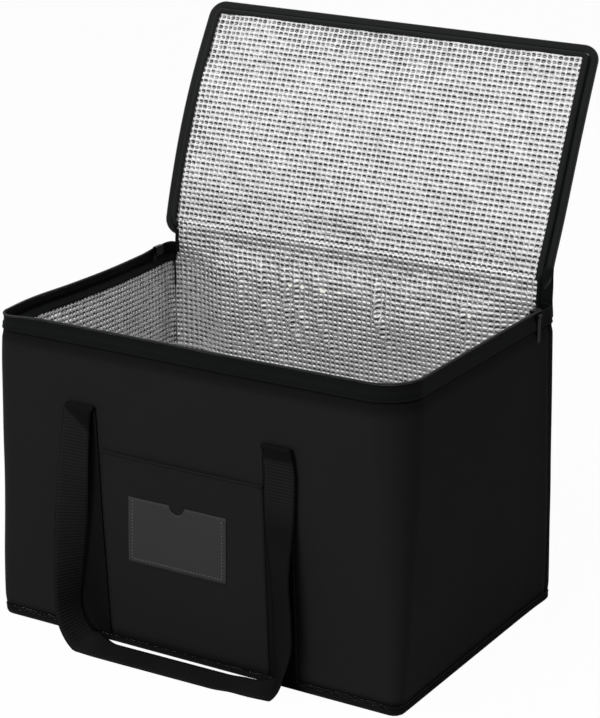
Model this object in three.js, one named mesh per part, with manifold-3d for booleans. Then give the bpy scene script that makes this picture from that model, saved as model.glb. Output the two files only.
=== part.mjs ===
// Insulated carrying bag: a foil-lined soft box, its zipped lid, two webbing handles and a front pocket.
// Millimetres, +Z up, +X to the right seen from the front, +Y to the back. The origin is the middle of
// the base, on the surface that the bag stands on. The lid stands open and the handles hang down.

import * as THREE from 'three';
import { mergeVertices } from 'three/addons/utils/BufferGeometryUtils.js';
import Module from 'manifold-3d';

// Driving sizes of the box
const BASE_WIDTH = 508;
const BASE_DEPTH = 350;
const RIM_HEIGHT = 356;
const RIM_SIDE_INSET = 4;
const RIM_FRONT_INSET = 12;
const RIM_BACK_INSET = 13;
const CORNER_RADIUS = 20;
const CORNER_STEPS = 5;

// Driving sizes of the layers
const CLEARANCE = 0.3;
const OUTER_FABRIC = 1.2;
const WALL_FOAM = 5.5;
const FOIL_LINING = 0.9;
const BASE_FOAM = 5.5;
const STIFFENER = 2;
const STIFFENER_MARGIN = 6;

// Driving sizes of the base seam
const BASE_TURN_UP = 8;
const BASE_EDGE_RADIUS = 4;
const PIPING_HEIGHT = 3;
const PIPING_PROUD = 1.3;

// Driving sizes of the rim and its zip
const ZIP_BAND_HEIGHT = 18;
const ZIP_TAPE = 1.2;
const ZIP_TAB_HEIGHT = 15;
const COIL_RADIUS = 1.3;
const FACING_THICKNESS = 1.2;

// Driving sizes of the lid
const HINGE_RISE = 6.5;
const HINGE_INSET = 5;
const HINGE_STRIP = 1.2;
const HINGE_BEAD_RADIUS = 1.5;
const LID_REACH = 304;
const LID_LEAN_DEG = 23.5;
const LID_BOW = 3;
const LID_CORNER_RADIUS = 20;
const LID_TAPE_WIDTH = 11;
const LID_SKIRT = 4;
const LID_BINDING_WIDTH = 12;
const LID_BINDING = 1.2;
const LID_FOAM = 5.5;
const LID_SIDE_STEPS = 8;

// Driving sizes of the zip sliders and pulls
const SLIDER_LENGTH = 14;
const SLIDER_PLATE = 1.2;
const SLIDER_DROP = 11;
const SLIDER_PARK_FROM_END = 12;
const CROWN_BAR_RADIUS = 0.9;
const CROWN_POST = 1.6;
const CROWN_DROP = 6;
const PULL_EYE_WALL = 1;
const PULL_WIDTH = 8;
const PULL_LENGTH = 30;
const PULL_THICKNESS = 1.4;

// Driving sizes of the handles
const WEBBING_WIDTH = 38;
const WEBBING = 1.8;
const HANDLE_SPACING = 250;
const HANDLE_CENTRE_X = -20;
const HANDLE_FOLD_HEIGHT = 269;
const LOOP_RUN_OUT = 31.5;
const LOOP_SPREAD = 17;
const LOOP_DRIFT = 12;
const LOOP_KNEE = 52;
const LOOP_CORNER = 40;
const LOOP_TWIST_TOP = 240;
const LOOP_TWIST_BOTTOM = 12;
const LOOP_STEPS = 80;

// Driving sizes of the pocket and its card window
const POCKET_HEIGHT = 222;
const POCKET_FABRIC = 1;
const WINDOW_WIDTH = 127;
const WINDOW_HEIGHT = 76;
const WINDOW_BOTTOM = 99;
const WINDOW_CENTRE_X = -22;
const WINDOW_SHEET = 0.6;
const NOTCH_WIDTH = 19;
const NOTCH_DEPTH = 9;

// Sizes that follow
const HALF_WIDTH = BASE_WIDTH / 2;
const HALF_DEPTH = BASE_DEPTH / 2;
const WALL_TOP = RIM_HEIGHT - ZIP_BAND_HEIGHT;
const FOAM_OUT = OUTER_FABRIC + CLEARANCE;
const FOAM_IN = FOAM_OUT + WALL_FOAM;
const LINING_OUT = FOAM_IN + CLEARANCE;
const LINING_IN = LINING_OUT + FOIL_LINING;
const PIPING_BOTTOM = BASE_TURN_UP + CLEARANCE;
const FABRIC_BOTTOM = PIPING_BOTTOM + PIPING_HEIGHT + CLEARANCE;
const RIM_PIPING_BOTTOM = WALL_TOP - PIPING_HEIGHT;
const FABRIC_TOP = RIM_PIPING_BOTTOM - CLEARANCE;
const FOAM_TOP = FABRIC_TOP - CLEARANCE;
const BAND_BOTTOM = FOAM_TOP + CLEARANCE;
const TAPE_OUT = FOAM_OUT;
const TAPE_IN = TAPE_OUT + ZIP_TAPE;
const COIL_INSET = (TAPE_OUT + TAPE_IN) / 2;
const COIL_HEIGHT = RIM_HEIGHT - COIL_RADIUS;
const TAPE_TOP = COIL_HEIGHT - COIL_RADIUS - CLEARANCE;
const FOAM_BOARD_X = HALF_WIDTH - CORNER_RADIUS;
const FOAM_BOARD_Y = HALF_DEPTH - CORNER_RADIUS;
const SIDE_END_Y = HALF_DEPTH - CORNER_RADIUS - CLEARANCE;
const STIFFENER_BOTTOM = OUTER_FABRIC + CLEARANCE;
const BASE_FOAM_BOTTOM = STIFFENER_BOTTOM + STIFFENER + CLEARANCE;
const BASE_LINING_BOTTOM = BASE_FOAM_BOTTOM + BASE_FOAM + CLEARANCE;
const BASE_LINING_TOP = BASE_LINING_BOTTOM + FOIL_LINING;
const WALL_LINING_BOTTOM = BASE_LINING_TOP + CLEARANCE;
const HINGE_Z = RIM_HEIGHT + HINGE_RISE;
const FULL_TURN = Math.PI * 2;
const QUARTER_TURN = Math.PI / 2;

// Colours and finishes read from the photograph
const OUTER_BLACK = { color: 0x1d1d1d, roughness: 0.62, metalness: 0 };
const TRIM_BLACK = { color: 0x161817, roughness: 0.55, metalness: 0 };
const WEBBING_BLACK = { color: 0x181818, roughness: 0.8, metalness: 0 };
const FOIL_SILVER = { color: 0xc9cac9, roughness: 0.28, metalness: 0.9 };
const FOAM_WHITE = { color: 0xe8e6df, roughness: 0.95, metalness: 0 };
const BOARD_GREY = { color: 0x8a8c8c, roughness: 0.6, metalness: 0 };
const WINDOW_GREY = { color: 0x343434, roughness: 0.25, metalness: 0 };
const METAL_BLACK = { color: 0x202222, roughness: 0.4, metalness: 0.7 };

// The walls lean in a little from the base to the rim.
function leanIn(x, y, z) {
  const rise = z / RIM_HEIGHT;
  const across = 1 - (rise * RIM_SIDE_INSET) / HALF_WIDTH;
  const along = 1 - (rise * (RIM_FRONT_INSET + RIM_BACK_INSET)) / BASE_DEPTH;
  const shift = (rise * (RIM_FRONT_INSET - RIM_BACK_INSET)) / 2;
  return new THREE.Vector3(x * across, y * along + shift, z);
}

function mapVertices(geometry, place) {
  const position = geometry.getAttribute('position');
  for (let i = 0; i < position.count; i += 1) {
    const point = place(position.getX(i), position.getY(i), position.getZ(i));
    position.setXYZ(i, point.x, point.y, point.z);
  }
  return geometry;
}

function signedVolume(points, triangles) {
  let volume = 0;
  const cross = new THREE.Vector3();
  for (const [a, b, c] of triangles) {
    volume += points[a].dot(cross.crossVectors(points[b], points[c])) / 6;
  }
  return volume;
}

function closedBody(points, triangles) {
  const outward = signedVolume(points, triangles) > 0;
  const geometry = new THREE.BufferGeometry();
  const flat = points.flatMap((point) => [point.x, point.y, point.z]);
  geometry.setAttribute('position', new THREE.Float32BufferAttribute(flat, 3));
  geometry.setIndex(triangles.flatMap(([a, b, c]) => (outward ? [a, b, c] : [a, c, b])));
  geometry.computeVertexNormals();
  return geometry;
}

// The triangles that fill a profile, turned the same way round as its points run.
function fillProfile(profile) {
  const turn = Math.sign(THREE.ShapeUtils.area(profile));
  return THREE.ShapeUtils.triangulateShape(profile, []).map(([a, b, c]) => {
    const sameWay = THREE.ShapeUtils.area([profile[a], profile[b], profile[c]]) * turn > 0;
    return sameWay ? [a, b, c] : [a, c, b];
  });
}

// A body through rings of points, one ring after another. The ends are filled with the flat profile,
// unless the rings meet.
function loft(rings, profile, meets = false) {
  const size = rings[0].length;
  const points = rings.flat();
  const triangles = [];
  const joins = meets ? rings.length : rings.length - 1;
  for (let ring = 0; ring < joins; ring += 1) {
    const here = ring * size;
    const next = ((ring + 1) % rings.length) * size;
    for (let i = 0; i < size; i += 1) {
      const j = (i + 1) % size;
      triangles.push([here + i, next + i, here + j], [here + j, next + i, next + j]);
    }
  }
  if (!meets) {
    const last = (rings.length - 1) * size;
    for (const [a, b, c] of fillProfile(profile)) {
      triangles.push([a, b, c], [last + a, last + c, last + b]);
    }
  }
  return closedBody(points, triangles);
}

function station(x, y, angle) {
  return { x, y, nx: Math.cos(angle), ny: Math.sin(angle) };
}

function corner(centreX, centreY, radius, startAngle, turn = QUARTER_TURN) {
  return Array.from({ length: CORNER_STEPS + 1 }, (unused, step) => {
    const angle = startAngle + (turn * step) / CORNER_STEPS;
    return station(centreX + Math.cos(angle) * radius, centreY + Math.sin(angle) * radius, angle);
  });
}

const CORNER_X = HALF_WIDTH - CORNER_RADIUS;
const CORNER_Y = HALF_DEPTH - CORNER_RADIUS;
const FRONT_LEFT = corner(-CORNER_X, -CORNER_Y, CORNER_RADIUS, Math.PI);
const FRONT_RIGHT = corner(CORNER_X, -CORNER_Y, CORNER_RADIUS, Math.PI + QUARTER_TURN);
const BACK_RIGHT = corner(CORNER_X, CORNER_Y, CORNER_RADIUS, 0);
const BACK_LEFT = corner(-CORNER_X, CORNER_Y, CORNER_RADIUS, QUARTER_TURN);
const ALL_ROUND = [...FRONT_LEFT, ...FRONT_RIGHT, ...BACK_RIGHT, ...BACK_LEFT];
const BACK_ROUND = [...BACK_RIGHT, ...BACK_LEFT];

function frontAndSides(endY) {
  return [
    station(-HALF_WIDTH, endY, Math.PI),
    ...FRONT_LEFT,
    ...FRONT_RIGHT,
    station(HALF_WIDTH, endY, 0),
  ];
}

// Carries a profile of (inset from the outer face, height) points round the plan of the bag.
function sweepRound(stations, profile, meets = false) {
  const rings = stations.map((at) =>
    profile.map((point) => leanIn(at.x - at.nx * point.x, at.y - at.ny * point.x, point.y)),
  );
  return loft(rings, profile, meets);
}

function rectangle(inset, bottom, deepInset, top) {
  return [
    new THREE.Vector2(inset, bottom),
    new THREE.Vector2(deepInset, bottom),
    new THREE.Vector2(deepInset, top),
    new THREE.Vector2(inset, top),
  ];
}

function pipingProfile(bottom) {
  const top = bottom + PIPING_HEIGHT;
  const middle = bottom + PIPING_HEIGHT / 2;
  const shoulder = PIPING_HEIGHT / 6;
  return [
    new THREE.Vector2(OUTER_FABRIC, bottom),
    new THREE.Vector2(OUTER_FABRIC, top),
    new THREE.Vector2(0, top),
    new THREE.Vector2(-PIPING_PROUD, middle + shoulder),
    new THREE.Vector2(-PIPING_PROUD, middle - shoulder),
    new THREE.Vector2(0, bottom),
  ].reverse();
}

function roundProfile(centreInset, centreHeight, radius, sides) {
  return Array.from({ length: sides }, (unused, side) => {
    const angle = ((side + 0.5) / sides) * FULL_TURN;
    return new THREE.Vector2(
      centreInset + (Math.cos(angle) * radius) / Math.cos(Math.PI / sides),
      centreHeight + (Math.sin(angle) * radius) / Math.cos(Math.PI / sides),
    );
  });
}

// A flat board or sheet against a wall, leaning with it.
function board(x0, x1, y0, y1, z0, z1) {
  const geometry = new THREE.BoxGeometry(x1 - x0, y1 - y0, z1 - z0);
  geometry.translate((x0 + x1) / 2, (y0 + y1) / 2, (z0 + z1) / 2);
  return mapVertices(geometry, leanIn);
}

function piece(name, geometry, finish) {
  const mesh = new THREE.Mesh(geometry, new THREE.MeshStandardMaterial(finish));
  mesh.name = name;
  return mesh;
}

// The base fabric is a shallow tray: its rings go up the outside and down the inside.
function baseTray() {
  const outlineAt = (inset, height) =>
    ALL_ROUND.map((at) => leanIn(at.x - at.nx * inset, at.y - at.ny * inset, height));
  const knee = BASE_EDGE_RADIUS * (1 - Math.SQRT1_2);
  const innerRadius = BASE_EDGE_RADIUS - OUTER_FABRIC;
  const innerKnee = innerRadius * (1 - Math.SQRT1_2);
  const rings = [
    outlineAt(BASE_EDGE_RADIUS, 0),
    outlineAt(knee, knee),
    outlineAt(0, BASE_EDGE_RADIUS),
    outlineAt(0, BASE_TURN_UP),
    outlineAt(OUTER_FABRIC, BASE_TURN_UP),
    outlineAt(OUTER_FABRIC, BASE_EDGE_RADIUS),
    outlineAt(OUTER_FABRIC + innerKnee, OUTER_FABRIC + innerKnee),
    outlineAt(BASE_EDGE_RADIUS, OUTER_FABRIC),
  ];
  return loft(rings, ALL_ROUND.map((at) => new THREE.Vector2(at.x, at.y)));
}

function shell() {
  const group = new THREE.Group();
  const wrapProfile = rectangle(0, FABRIC_BOTTOM, OUTER_FABRIC, FABRIC_TOP);
  group.add(piece('outer_wrap', sweepRound(frontAndSides(SIDE_END_Y), wrapProfile), OUTER_BLACK));
  group.add(piece('outer_back_panel', sweepRound(BACK_ROUND, wrapProfile), OUTER_BLACK));
  group.add(piece('outer_base_panel', baseTray(), OUTER_BLACK));
  group.add(piece('base_piping', sweepRound(ALL_ROUND, pipingProfile(PIPING_BOTTOM), true), TRIM_BLACK));
  group.add(piece('rim_piping', sweepRound(ALL_ROUND, pipingProfile(RIM_PIPING_BOTTOM), true), TRIM_BLACK));
  return group;
}

function foamBoards() {
  const group = new THREE.Group();
  const outX = HALF_WIDTH - FOAM_OUT;
  const inX = HALF_WIDTH - FOAM_IN;
  const outY = HALF_DEPTH - FOAM_OUT;
  const inY = HALF_DEPTH - FOAM_IN;
  const low = STIFFENER_BOTTOM + BASE_EDGE_RADIUS;
  const addBoard = (name, ...box) => group.add(piece(name, board(...box), FOAM_WHITE));
  addBoard('foam_front', -FOAM_BOARD_X, FOAM_BOARD_X, -outY, -inY, low, FOAM_TOP);
  addBoard('foam_back', -FOAM_BOARD_X, FOAM_BOARD_X, inY, outY, low, FOAM_TOP);
  addBoard('foam_left', -outX, -inX, -FOAM_BOARD_Y, FOAM_BOARD_Y, low, FOAM_TOP);
  addBoard('foam_right', inX, outX, -FOAM_BOARD_Y, FOAM_BOARD_Y, low, FOAM_TOP);
  const baseX = HALF_WIDTH - LINING_OUT;
  const baseY = HALF_DEPTH - LINING_OUT;
  addBoard('foam_base', -baseX, baseX, -baseY, baseY, BASE_FOAM_BOTTOM, BASE_FOAM_BOTTOM + BASE_FOAM);
  const stiffX = baseX - STIFFENER_MARGIN;
  const stiffY = baseY - STIFFENER_MARGIN;
  const stiffTop = STIFFENER_BOTTOM + STIFFENER;
  const stiffBoard = board(-stiffX, stiffX, -stiffY, stiffY, STIFFENER_BOTTOM, stiffTop);
  group.add(piece('base_stiffener', stiffBoard, BOARD_GREY));
  return group;
}

function foilLining() {
  const group = new THREE.Group();
  const outX = HALF_WIDTH - LINING_OUT;
  const inX = HALF_WIDTH - LINING_IN;
  const outY = HALF_DEPTH - LINING_OUT;
  const inY = HALF_DEPTH - LINING_IN;
  const betweenX = inX - CLEARANCE;
  const low = WALL_LINING_BOTTOM;
  const addSheet = (name, ...box) => group.add(piece(name, board(...box), FOIL_SILVER));
  addSheet('lining_front', -betweenX, betweenX, -outY, -inY, low, FOAM_TOP);
  addSheet('lining_back', -betweenX, betweenX, inY, outY, low, FOAM_TOP);
  addSheet('lining_left', -outX, -inX, -outY, outY, low, FOAM_TOP);
  addSheet('lining_right', inX, outX, -outY, outY, low, FOAM_TOP);
  addSheet('lining_base', -outX, outX, -outY, outY, BASE_LINING_BOTTOM, BASE_LINING_TOP);
  return group;
}

function rim() {
  const group = new THREE.Group();
  const open = frontAndSides(SIDE_END_Y);
  const tapeProfile = rectangle(TAPE_OUT, BAND_BOTTOM, TAPE_IN, TAPE_TOP);
  const coilProfile = roundProfile(COIL_INSET, COIL_HEIGHT, COIL_RADIUS, 8);
  const facingOut = TAPE_IN + CLEARANCE;
  const facingProfile = rectangle(facingOut, BAND_BOTTOM, LINING_IN, BAND_BOTTOM + FACING_THICKNESS);
  group.add(piece('body_zip_tape', sweepRound(open, tapeProfile), TRIM_BLACK));
  group.add(piece('body_zip_coil', sweepRound(open, coilProfile), TRIM_BLACK));
  group.add(piece('rim_facing', sweepRound(open, facingProfile), TRIM_BLACK));
  const tabProfile = rectangle(TAPE_OUT, BAND_BOTTOM, TAPE_IN, BAND_BOTTOM + ZIP_TAB_HEIGHT);
  group.add(piece('zip_end_tab_left', sweepRound(BACK_LEFT, tabProfile), TRIM_BLACK));
  group.add(piece('zip_end_tab_right', sweepRound(BACK_RIGHT, tabProfile), TRIM_BLACK));
  const stripTop = HINGE_Z - HINGE_BEAD_RADIUS - CLEARANCE;
  const stripY = HALF_DEPTH - HINGE_INSET;
  const halfStrip = HINGE_STRIP / 2;
  const strip = board(
    -FOAM_BOARD_X, FOAM_BOARD_X, stripY - halfStrip, stripY + halfStrip, BAND_BOTTOM, stripTop,
  );
  group.add(piece('back_hinge_strip', strip, TRIM_BLACK));
  return group;
}

// The lid is drawn flat, as (across, up from the hinge, towards the lining), and bowed a little backwards.
const LID_TURN = (8 * LID_BOW) / LID_REACH;
const LID_ARC_RADIUS = LID_REACH / LID_TURN;

function bowLid(x, up, lining) {
  const lean = LID_TURN * (up / LID_REACH - 0.5);
  const first = -LID_TURN / 2;
  const back = LID_ARC_RADIUS * (Math.cos(first) - Math.cos(lean));
  const rise = LID_ARC_RADIUS * (Math.sin(lean) - Math.sin(first));
  return new THREE.Vector3(x, back - lining * Math.cos(lean), rise + lining * Math.sin(lean));
}

const LID_CENTRE_X = HALF_WIDTH - LID_CORNER_RADIUS;
const LID_LOW_CENTRE = LID_SKIRT + LID_CORNER_RADIUS;
const LID_HIGH_CENTRE = LID_REACH - LID_CORNER_RADIUS;

// Stations round the lid's edge, from the end of the band at the left of the hinge to that at the right.
function lidEdge() {
  const radius = LID_CORNER_RADIUS;
  const sideSteps = Array.from({ length: LID_SIDE_STEPS - 1 }, (unused, step) => {
    const share = (step + 1) / LID_SIDE_STEPS;
    return LID_LOW_CENTRE + (LID_HIGH_CENTRE - LID_LOW_CENTRE) * share;
  });
  return [
    ...corner(-LID_CENTRE_X, LID_LOW_CENTRE, radius, -QUARTER_TURN, -QUARTER_TURN),
    ...sideSteps.map((up) => station(-HALF_WIDTH, up, Math.PI)),
    ...corner(-LID_CENTRE_X, LID_HIGH_CENTRE, radius, Math.PI, -QUARTER_TURN),
    ...corner(LID_CENTRE_X, LID_HIGH_CENTRE, radius, QUARTER_TURN, -QUARTER_TURN),
    ...sideSteps.toReversed().map((up) => station(HALF_WIDTH, up, 0)),
    ...corner(LID_CENTRE_X, LID_LOW_CENTRE, radius, 0, -QUARTER_TURN),
  ];
}

// Carries a profile of (inset from the lid's edge, towards the lining) points round the lid's edge.
function sweepLidEdge(profile) {
  const rings = lidEdge().map((at) =>
    profile.map((point) => bowLid(at.x - at.nx * point.x, at.y - at.ny * point.x, point.y)),
  );
  return loft(rings, profile);
}

// One layer of the lid: a sheet with round corners, inset from the lid's edge.
function lidLayer(inset, back, front) {
  const right = lidEdge().filter((at) => at.nx >= -1e-9 && at.x > 0);
  const rows = right.map((at) => ({ half: at.x - at.nx * inset, up: at.y - at.ny * inset }));
  const rings = rows.map(({ half, up }) => [
    bowLid(-half, up, back),
    bowLid(half, up, back),
    bowLid(half, up, front),
    bowLid(-half, up, front),
  ]);
  return loft(rings, rectangle(-1, back, 1, front));
}

function lid() {
  const group = new THREE.Group();
  const hinge = leanIn(0, HALF_DEPTH - HINGE_INSET, HINGE_Z);
  group.position.set(0, hinge.y, hinge.z);
  group.rotation.x = -THREE.MathUtils.degToRad(LID_LEAN_DEG);

  const bindingOut = LID_TAPE_WIDTH + CLEARANCE;
  const panelInset = bindingOut + LID_BINDING + CLEARANCE;
  const lidStack = OUTER_FABRIC + LID_FOAM + FOIL_LINING + 2 * CLEARANCE;
  const panelBack = -lidStack / 2;
  const foamBack = panelBack + OUTER_FABRIC + CLEARANCE;
  const foamFront = foamBack + LID_FOAM;
  const liningBack = foamFront + CLEARANCE;
  const liningFront = liningBack + FOIL_LINING;
  const layer = (name, back, front, finish) =>
    group.add(piece(name, lidLayer(panelInset, back, front), finish));
  layer('lid_outer_panel', panelBack, panelBack + OUTER_FABRIC, OUTER_BLACK);
  layer('lid_foam', foamBack, foamFront, FOAM_WHITE);
  layer('lid_lining', liningBack, liningFront, FOIL_SILVER);

  const slot = lidStack / 2 + CLEARANCE;
  const cheek = slot + LID_BINDING;
  const web = bindingOut + LID_BINDING;
  const mouth = bindingOut + LID_BINDING_WIDTH;
  const bindingProfile = [
    new THREE.Vector2(bindingOut, -cheek),
    new THREE.Vector2(mouth, -cheek),
    new THREE.Vector2(mouth, -slot),
    new THREE.Vector2(web, -slot),
    new THREE.Vector2(web, slot),
    new THREE.Vector2(mouth, slot),
    new THREE.Vector2(mouth, cheek),
    new THREE.Vector2(bindingOut, cheek),
  ];
  group.add(piece('lid_binding', sweepLidEdge(bindingProfile), TRIM_BLACK));

  const coilInner = 2 * COIL_RADIUS + CLEARANCE;
  const tapeProfile = rectangle(coilInner, -ZIP_TAPE / 2, LID_TAPE_WIDTH, ZIP_TAPE / 2);
  group.add(piece('lid_zip_tape', sweepLidEdge(tapeProfile), TRIM_BLACK));
  const coilProfile = roundProfile(COIL_RADIUS, 0, COIL_RADIUS, 8);
  group.add(piece('lid_zip_coil', sweepLidEdge(coilProfile), TRIM_BLACK));
  group.add(piece('lid_hinge_strip', lidHingeStrip(panelInset), TRIM_BLACK));
  return group;
}

// The lid's half of the fold: a bead on the hinge line, and a strip up to the lid's layers.
function lidHingeStrip(panelInset) {
  const halfStrip = HINGE_STRIP / 2;
  const neck = Math.asin(halfStrip / HINGE_BEAD_RADIUS);
  const beadSteps = 10;
  const bead = Array.from({ length: beadSteps + 1 }, (unused, step) => {
    const angle = neck + ((FULL_TURN - 2 * neck) * step) / beadSteps;
    return new THREE.Vector2(Math.cos(angle), Math.sin(angle)).multiplyScalar(HINGE_BEAD_RADIUS);
  });
  const stripEnd = LID_SKIRT + panelInset - CLEARANCE;
  const profile = [...bead, new THREE.Vector2(stripEnd, -halfStrip), new THREE.Vector2(stripEnd, halfStrip)];
  const halfLength = LID_CENTRE_X - CLEARANCE;
  const rings = [-halfLength, halfLength].map((x) => profile.map((point) => bowLid(x, point.x, point.y)));
  return loft(rings, profile);
}

const wasm = await Module();
wasm.setup();

function toSolid(geometry) {
  const bare = geometry.clone();
  bare.deleteAttribute('normal');
  bare.deleteAttribute('uv');
  const merged = mergeVertices(bare);
  return new wasm.Manifold(
    new wasm.Mesh({
      numProp: 3,
      vertProperties: new Float32Array(merged.getAttribute('position').array),
      triVerts: new Uint32Array(merged.index.array),
    }),
  );
}

function toGeometry(solid) {
  const mesh = solid.getMesh();
  const geometry = new THREE.BufferGeometry();
  geometry.setAttribute('position', new THREE.Float32BufferAttribute(mesh.vertProperties, 3));
  geometry.setIndex(Array.from(mesh.triVerts));
  geometry.computeVertexNormals();
  return geometry;
}

const SLIDER_REACH = COIL_RADIUS + CLEARANCE + SLIDER_PLATE;
const CROWN_OUT = SLIDER_REACH + CLEARANCE + PULL_EYE_WALL + CLEARANCE + CROWN_BAR_RADIUS;
const CROWN_HEIGHT = COIL_RADIUS - CROWN_DROP;
const EYE_BORE = CROWN_BAR_RADIUS + CLEARANCE;
const EYE_RADIUS = EYE_BORE + PULL_EYE_WALL;
const POST_INNER = PULL_WIDTH / 2 + CLEARANCE;

// A slider straddles the coil. It is drawn about the coil's centre, with +X pointing out of the bag.
function sliderGeometry() {
  const top = COIL_RADIUS + CLEARANCE + SLIDER_PLATE;
  const inner = SLIDER_REACH - SLIDER_PLATE;
  const outline = new THREE.Shape();
  outline.moveTo(-SLIDER_REACH, top - SLIDER_DROP);
  outline.lineTo(-inner, top - SLIDER_DROP);
  outline.lineTo(-inner, top - SLIDER_PLATE);
  outline.lineTo(inner, top - SLIDER_PLATE);
  outline.lineTo(inner, top - SLIDER_DROP);
  outline.lineTo(SLIDER_REACH, top - SLIDER_DROP);
  outline.lineTo(SLIDER_REACH, top - SLIDER_PLATE / 2);
  outline.lineTo(SLIDER_REACH - SLIDER_PLATE / 2, top);
  outline.lineTo(-SLIDER_REACH + SLIDER_PLATE / 2, top);
  outline.lineTo(-SLIDER_REACH, top - SLIDER_PLATE / 2);
  const along = { depth: SLIDER_LENGTH, bevelEnabled: false };
  const saddle = new THREE.ExtrudeGeometry(outline, along);
  saddle.translate(0, 0, -SLIDER_LENGTH / 2);
  saddle.rotateX(QUARTER_TURN);
  let solid = toSolid(saddle);
  const postDepth = CROWN_OUT + CROWN_BAR_RADIUS - inner;
  for (const side of [-1, 1]) {
    const post = new THREE.BoxGeometry(postDepth, CROWN_POST, 2 * CROWN_BAR_RADIUS);
    post.translate(inner + postDepth / 2, side * (POST_INNER + CROWN_POST / 2), CROWN_HEIGHT);
    solid = solid.add(toSolid(post));
  }
  const bar = new THREE.CylinderGeometry(CROWN_BAR_RADIUS, CROWN_BAR_RADIUS, 2 * POST_INNER + CROWN_POST, 12);
  bar.translate(CROWN_OUT, 0, CROWN_HEIGHT);
  return toGeometry(solid.add(toSolid(bar)));
}

// A pull hangs on the crown bar by its eye. It is drawn about the bar's centre line.
function pullGeometry() {
  const halfTab = PULL_THICKNESS / 2;
  const meet = Math.asin(halfTab / EYE_RADIUS);
  const outline = new THREE.Shape();
  outline.moveTo(halfTab, -PULL_LENGTH + halfTab);
  outline.absarc(0, 0, EYE_RADIUS, meet - QUARTER_TURN, FULL_TURN - meet - QUARTER_TURN, false);
  outline.lineTo(-halfTab, -PULL_LENGTH + halfTab);
  outline.absarc(0, -PULL_LENGTH + halfTab, halfTab, Math.PI, FULL_TURN, false);
  const bore = new THREE.Path();
  bore.absarc(0, 0, EYE_BORE, 0, FULL_TURN, true);
  outline.holes.push(bore);
  const along = { depth: PULL_WIDTH, bevelEnabled: false, curveSegments: 7 };
  const geometry = new THREE.ExtrudeGeometry(outline, along);
  geometry.translate(0, 0, -PULL_WIDTH / 2);
  geometry.rotateX(QUARTER_TURN);
  return geometry;
}

function zipSlider(side, name) {
  const group = new THREE.Group();
  const parkY = SIDE_END_Y - SLIDER_PARK_FROM_END;
  group.position.copy(leanIn(side * (HALF_WIDTH - COIL_INSET), parkY, COIL_HEIGHT));
  if (side < 0) {
    group.rotation.z = Math.PI;
  }
  group.add(piece(`zip_slider_${name}`, sliderGeometry(), METAL_BLACK));
  const pull = piece(`zip_pull_${name}`, pullGeometry(), METAL_BLACK);
  pull.position.set(CROWN_OUT, 0, CROWN_HEIGHT);
  group.add(pull);
  return group;
}

// The loose part of a handle: flat webbing that hangs from its two folds, turns edge on as it comes down
// and lies flat on the ground.
function handleLoop(side) {
  const out = HALF_DEPTH + 2 * CLEARANCE + 1.5 * WEBBING;
  const fold = leanIn(0, side * out, HANDLE_FOLD_HEIGHT);
  const runY = side * (HALF_DEPTH + LOOP_RUN_OUT);
  const low = CLEARANCE + WEBBING / 2;
  const legPoint = (hand, height) => {
    const fall = 1 - height / HANDLE_FOLD_HEIGHT;
    const x = HANDLE_CENTRE_X + (hand * HANDLE_SPACING) / 2 + (LOOP_DRIFT + hand * LOOP_SPREAD) * fall;
    return new THREE.Vector3(x, THREE.MathUtils.lerp(fold.y, runY, fall ** 0.8), height);
  };
  const cornerPoint = (hand, degrees) => {
    const angle = THREE.MathUtils.degToRad(degrees);
    const inward = hand * LOOP_CORNER * (1 - Math.cos(angle));
    const height = THREE.MathUtils.lerp(LOOP_KNEE, low, Math.sin(angle));
    return new THREE.Vector3(legPoint(hand, LOOP_KNEE).x - inward, runY, height);
  };
  const half = (hand) => [
    ...[HANDLE_FOLD_HEIGHT, 235, 190, 140, 90, LOOP_KNEE].map((height) => legPoint(hand, height)),
    ...[30, 60, 90].map((degrees) => cornerPoint(hand, degrees)),
    new THREE.Vector3(legPoint(hand, LOOP_KNEE).x - hand * 2 * LOOP_CORNER, runY, low),
  ];
  const path = new THREE.CatmullRomCurve3([...half(-1), ...half(1).toReversed()], false, 'centripetal');
  const geometry = new THREE.BoxGeometry(WEBBING_WIDTH, WEBBING, 1, 1, 1, LOOP_STEPS);
  return mapVertices(geometry, (across, thick, along) => {
    const share = along + 0.5;
    const centre = path.getPointAt(share);
    const tangent = path.getTangentAt(share);
    const twist = THREE.MathUtils.smoothstep(-centre.z, -LOOP_TWIST_TOP, -LOOP_TWIST_BOTTOM) * QUARTER_TURN;
    const hand = share < 0.5 ? 1 : -1;
    const wide = new THREE.Vector3(hand * Math.cos(twist), -side * Math.sin(twist), 0);
    const face = new THREE.Vector3().crossVectors(tangent, wide).normalize();
    centre.z = Math.max(centre.z, low);
    return centre.addScaledVector(wide, across).addScaledVector(face, thick);
  });
}

function handles() {
  const group = new THREE.Group();
  const strapTop = HANDLE_FOLD_HEIGHT - WEBBING / 2;
  const strapOut = HALF_DEPTH + CLEARANCE + WEBBING;
  const strapIn = HALF_DEPTH + CLEARANCE;
  const halfWebbing = WEBBING_WIDTH / 2;
  for (const [face, side] of [['front', -1], ['back', 1]]) {
    group.add(piece(`${face}_handle_loop`, handleLoop(side), WEBBING_BLACK));
    for (const [hand, direction] of [['left', -1], ['right', 1]]) {
      const x = HANDLE_CENTRE_X + (direction * HANDLE_SPACING) / 2;
      const near = side < 0 ? -strapOut : strapIn;
      const far = side < 0 ? -strapIn : strapOut;
      const strap = board(x - halfWebbing, x + halfWebbing, near, far, FABRIC_BOTTOM, strapTop);
      group.add(piece(`${face}_handle_strap_${hand}`, strap, WEBBING_BLACK));
    }
  }
  return group;
}

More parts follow.
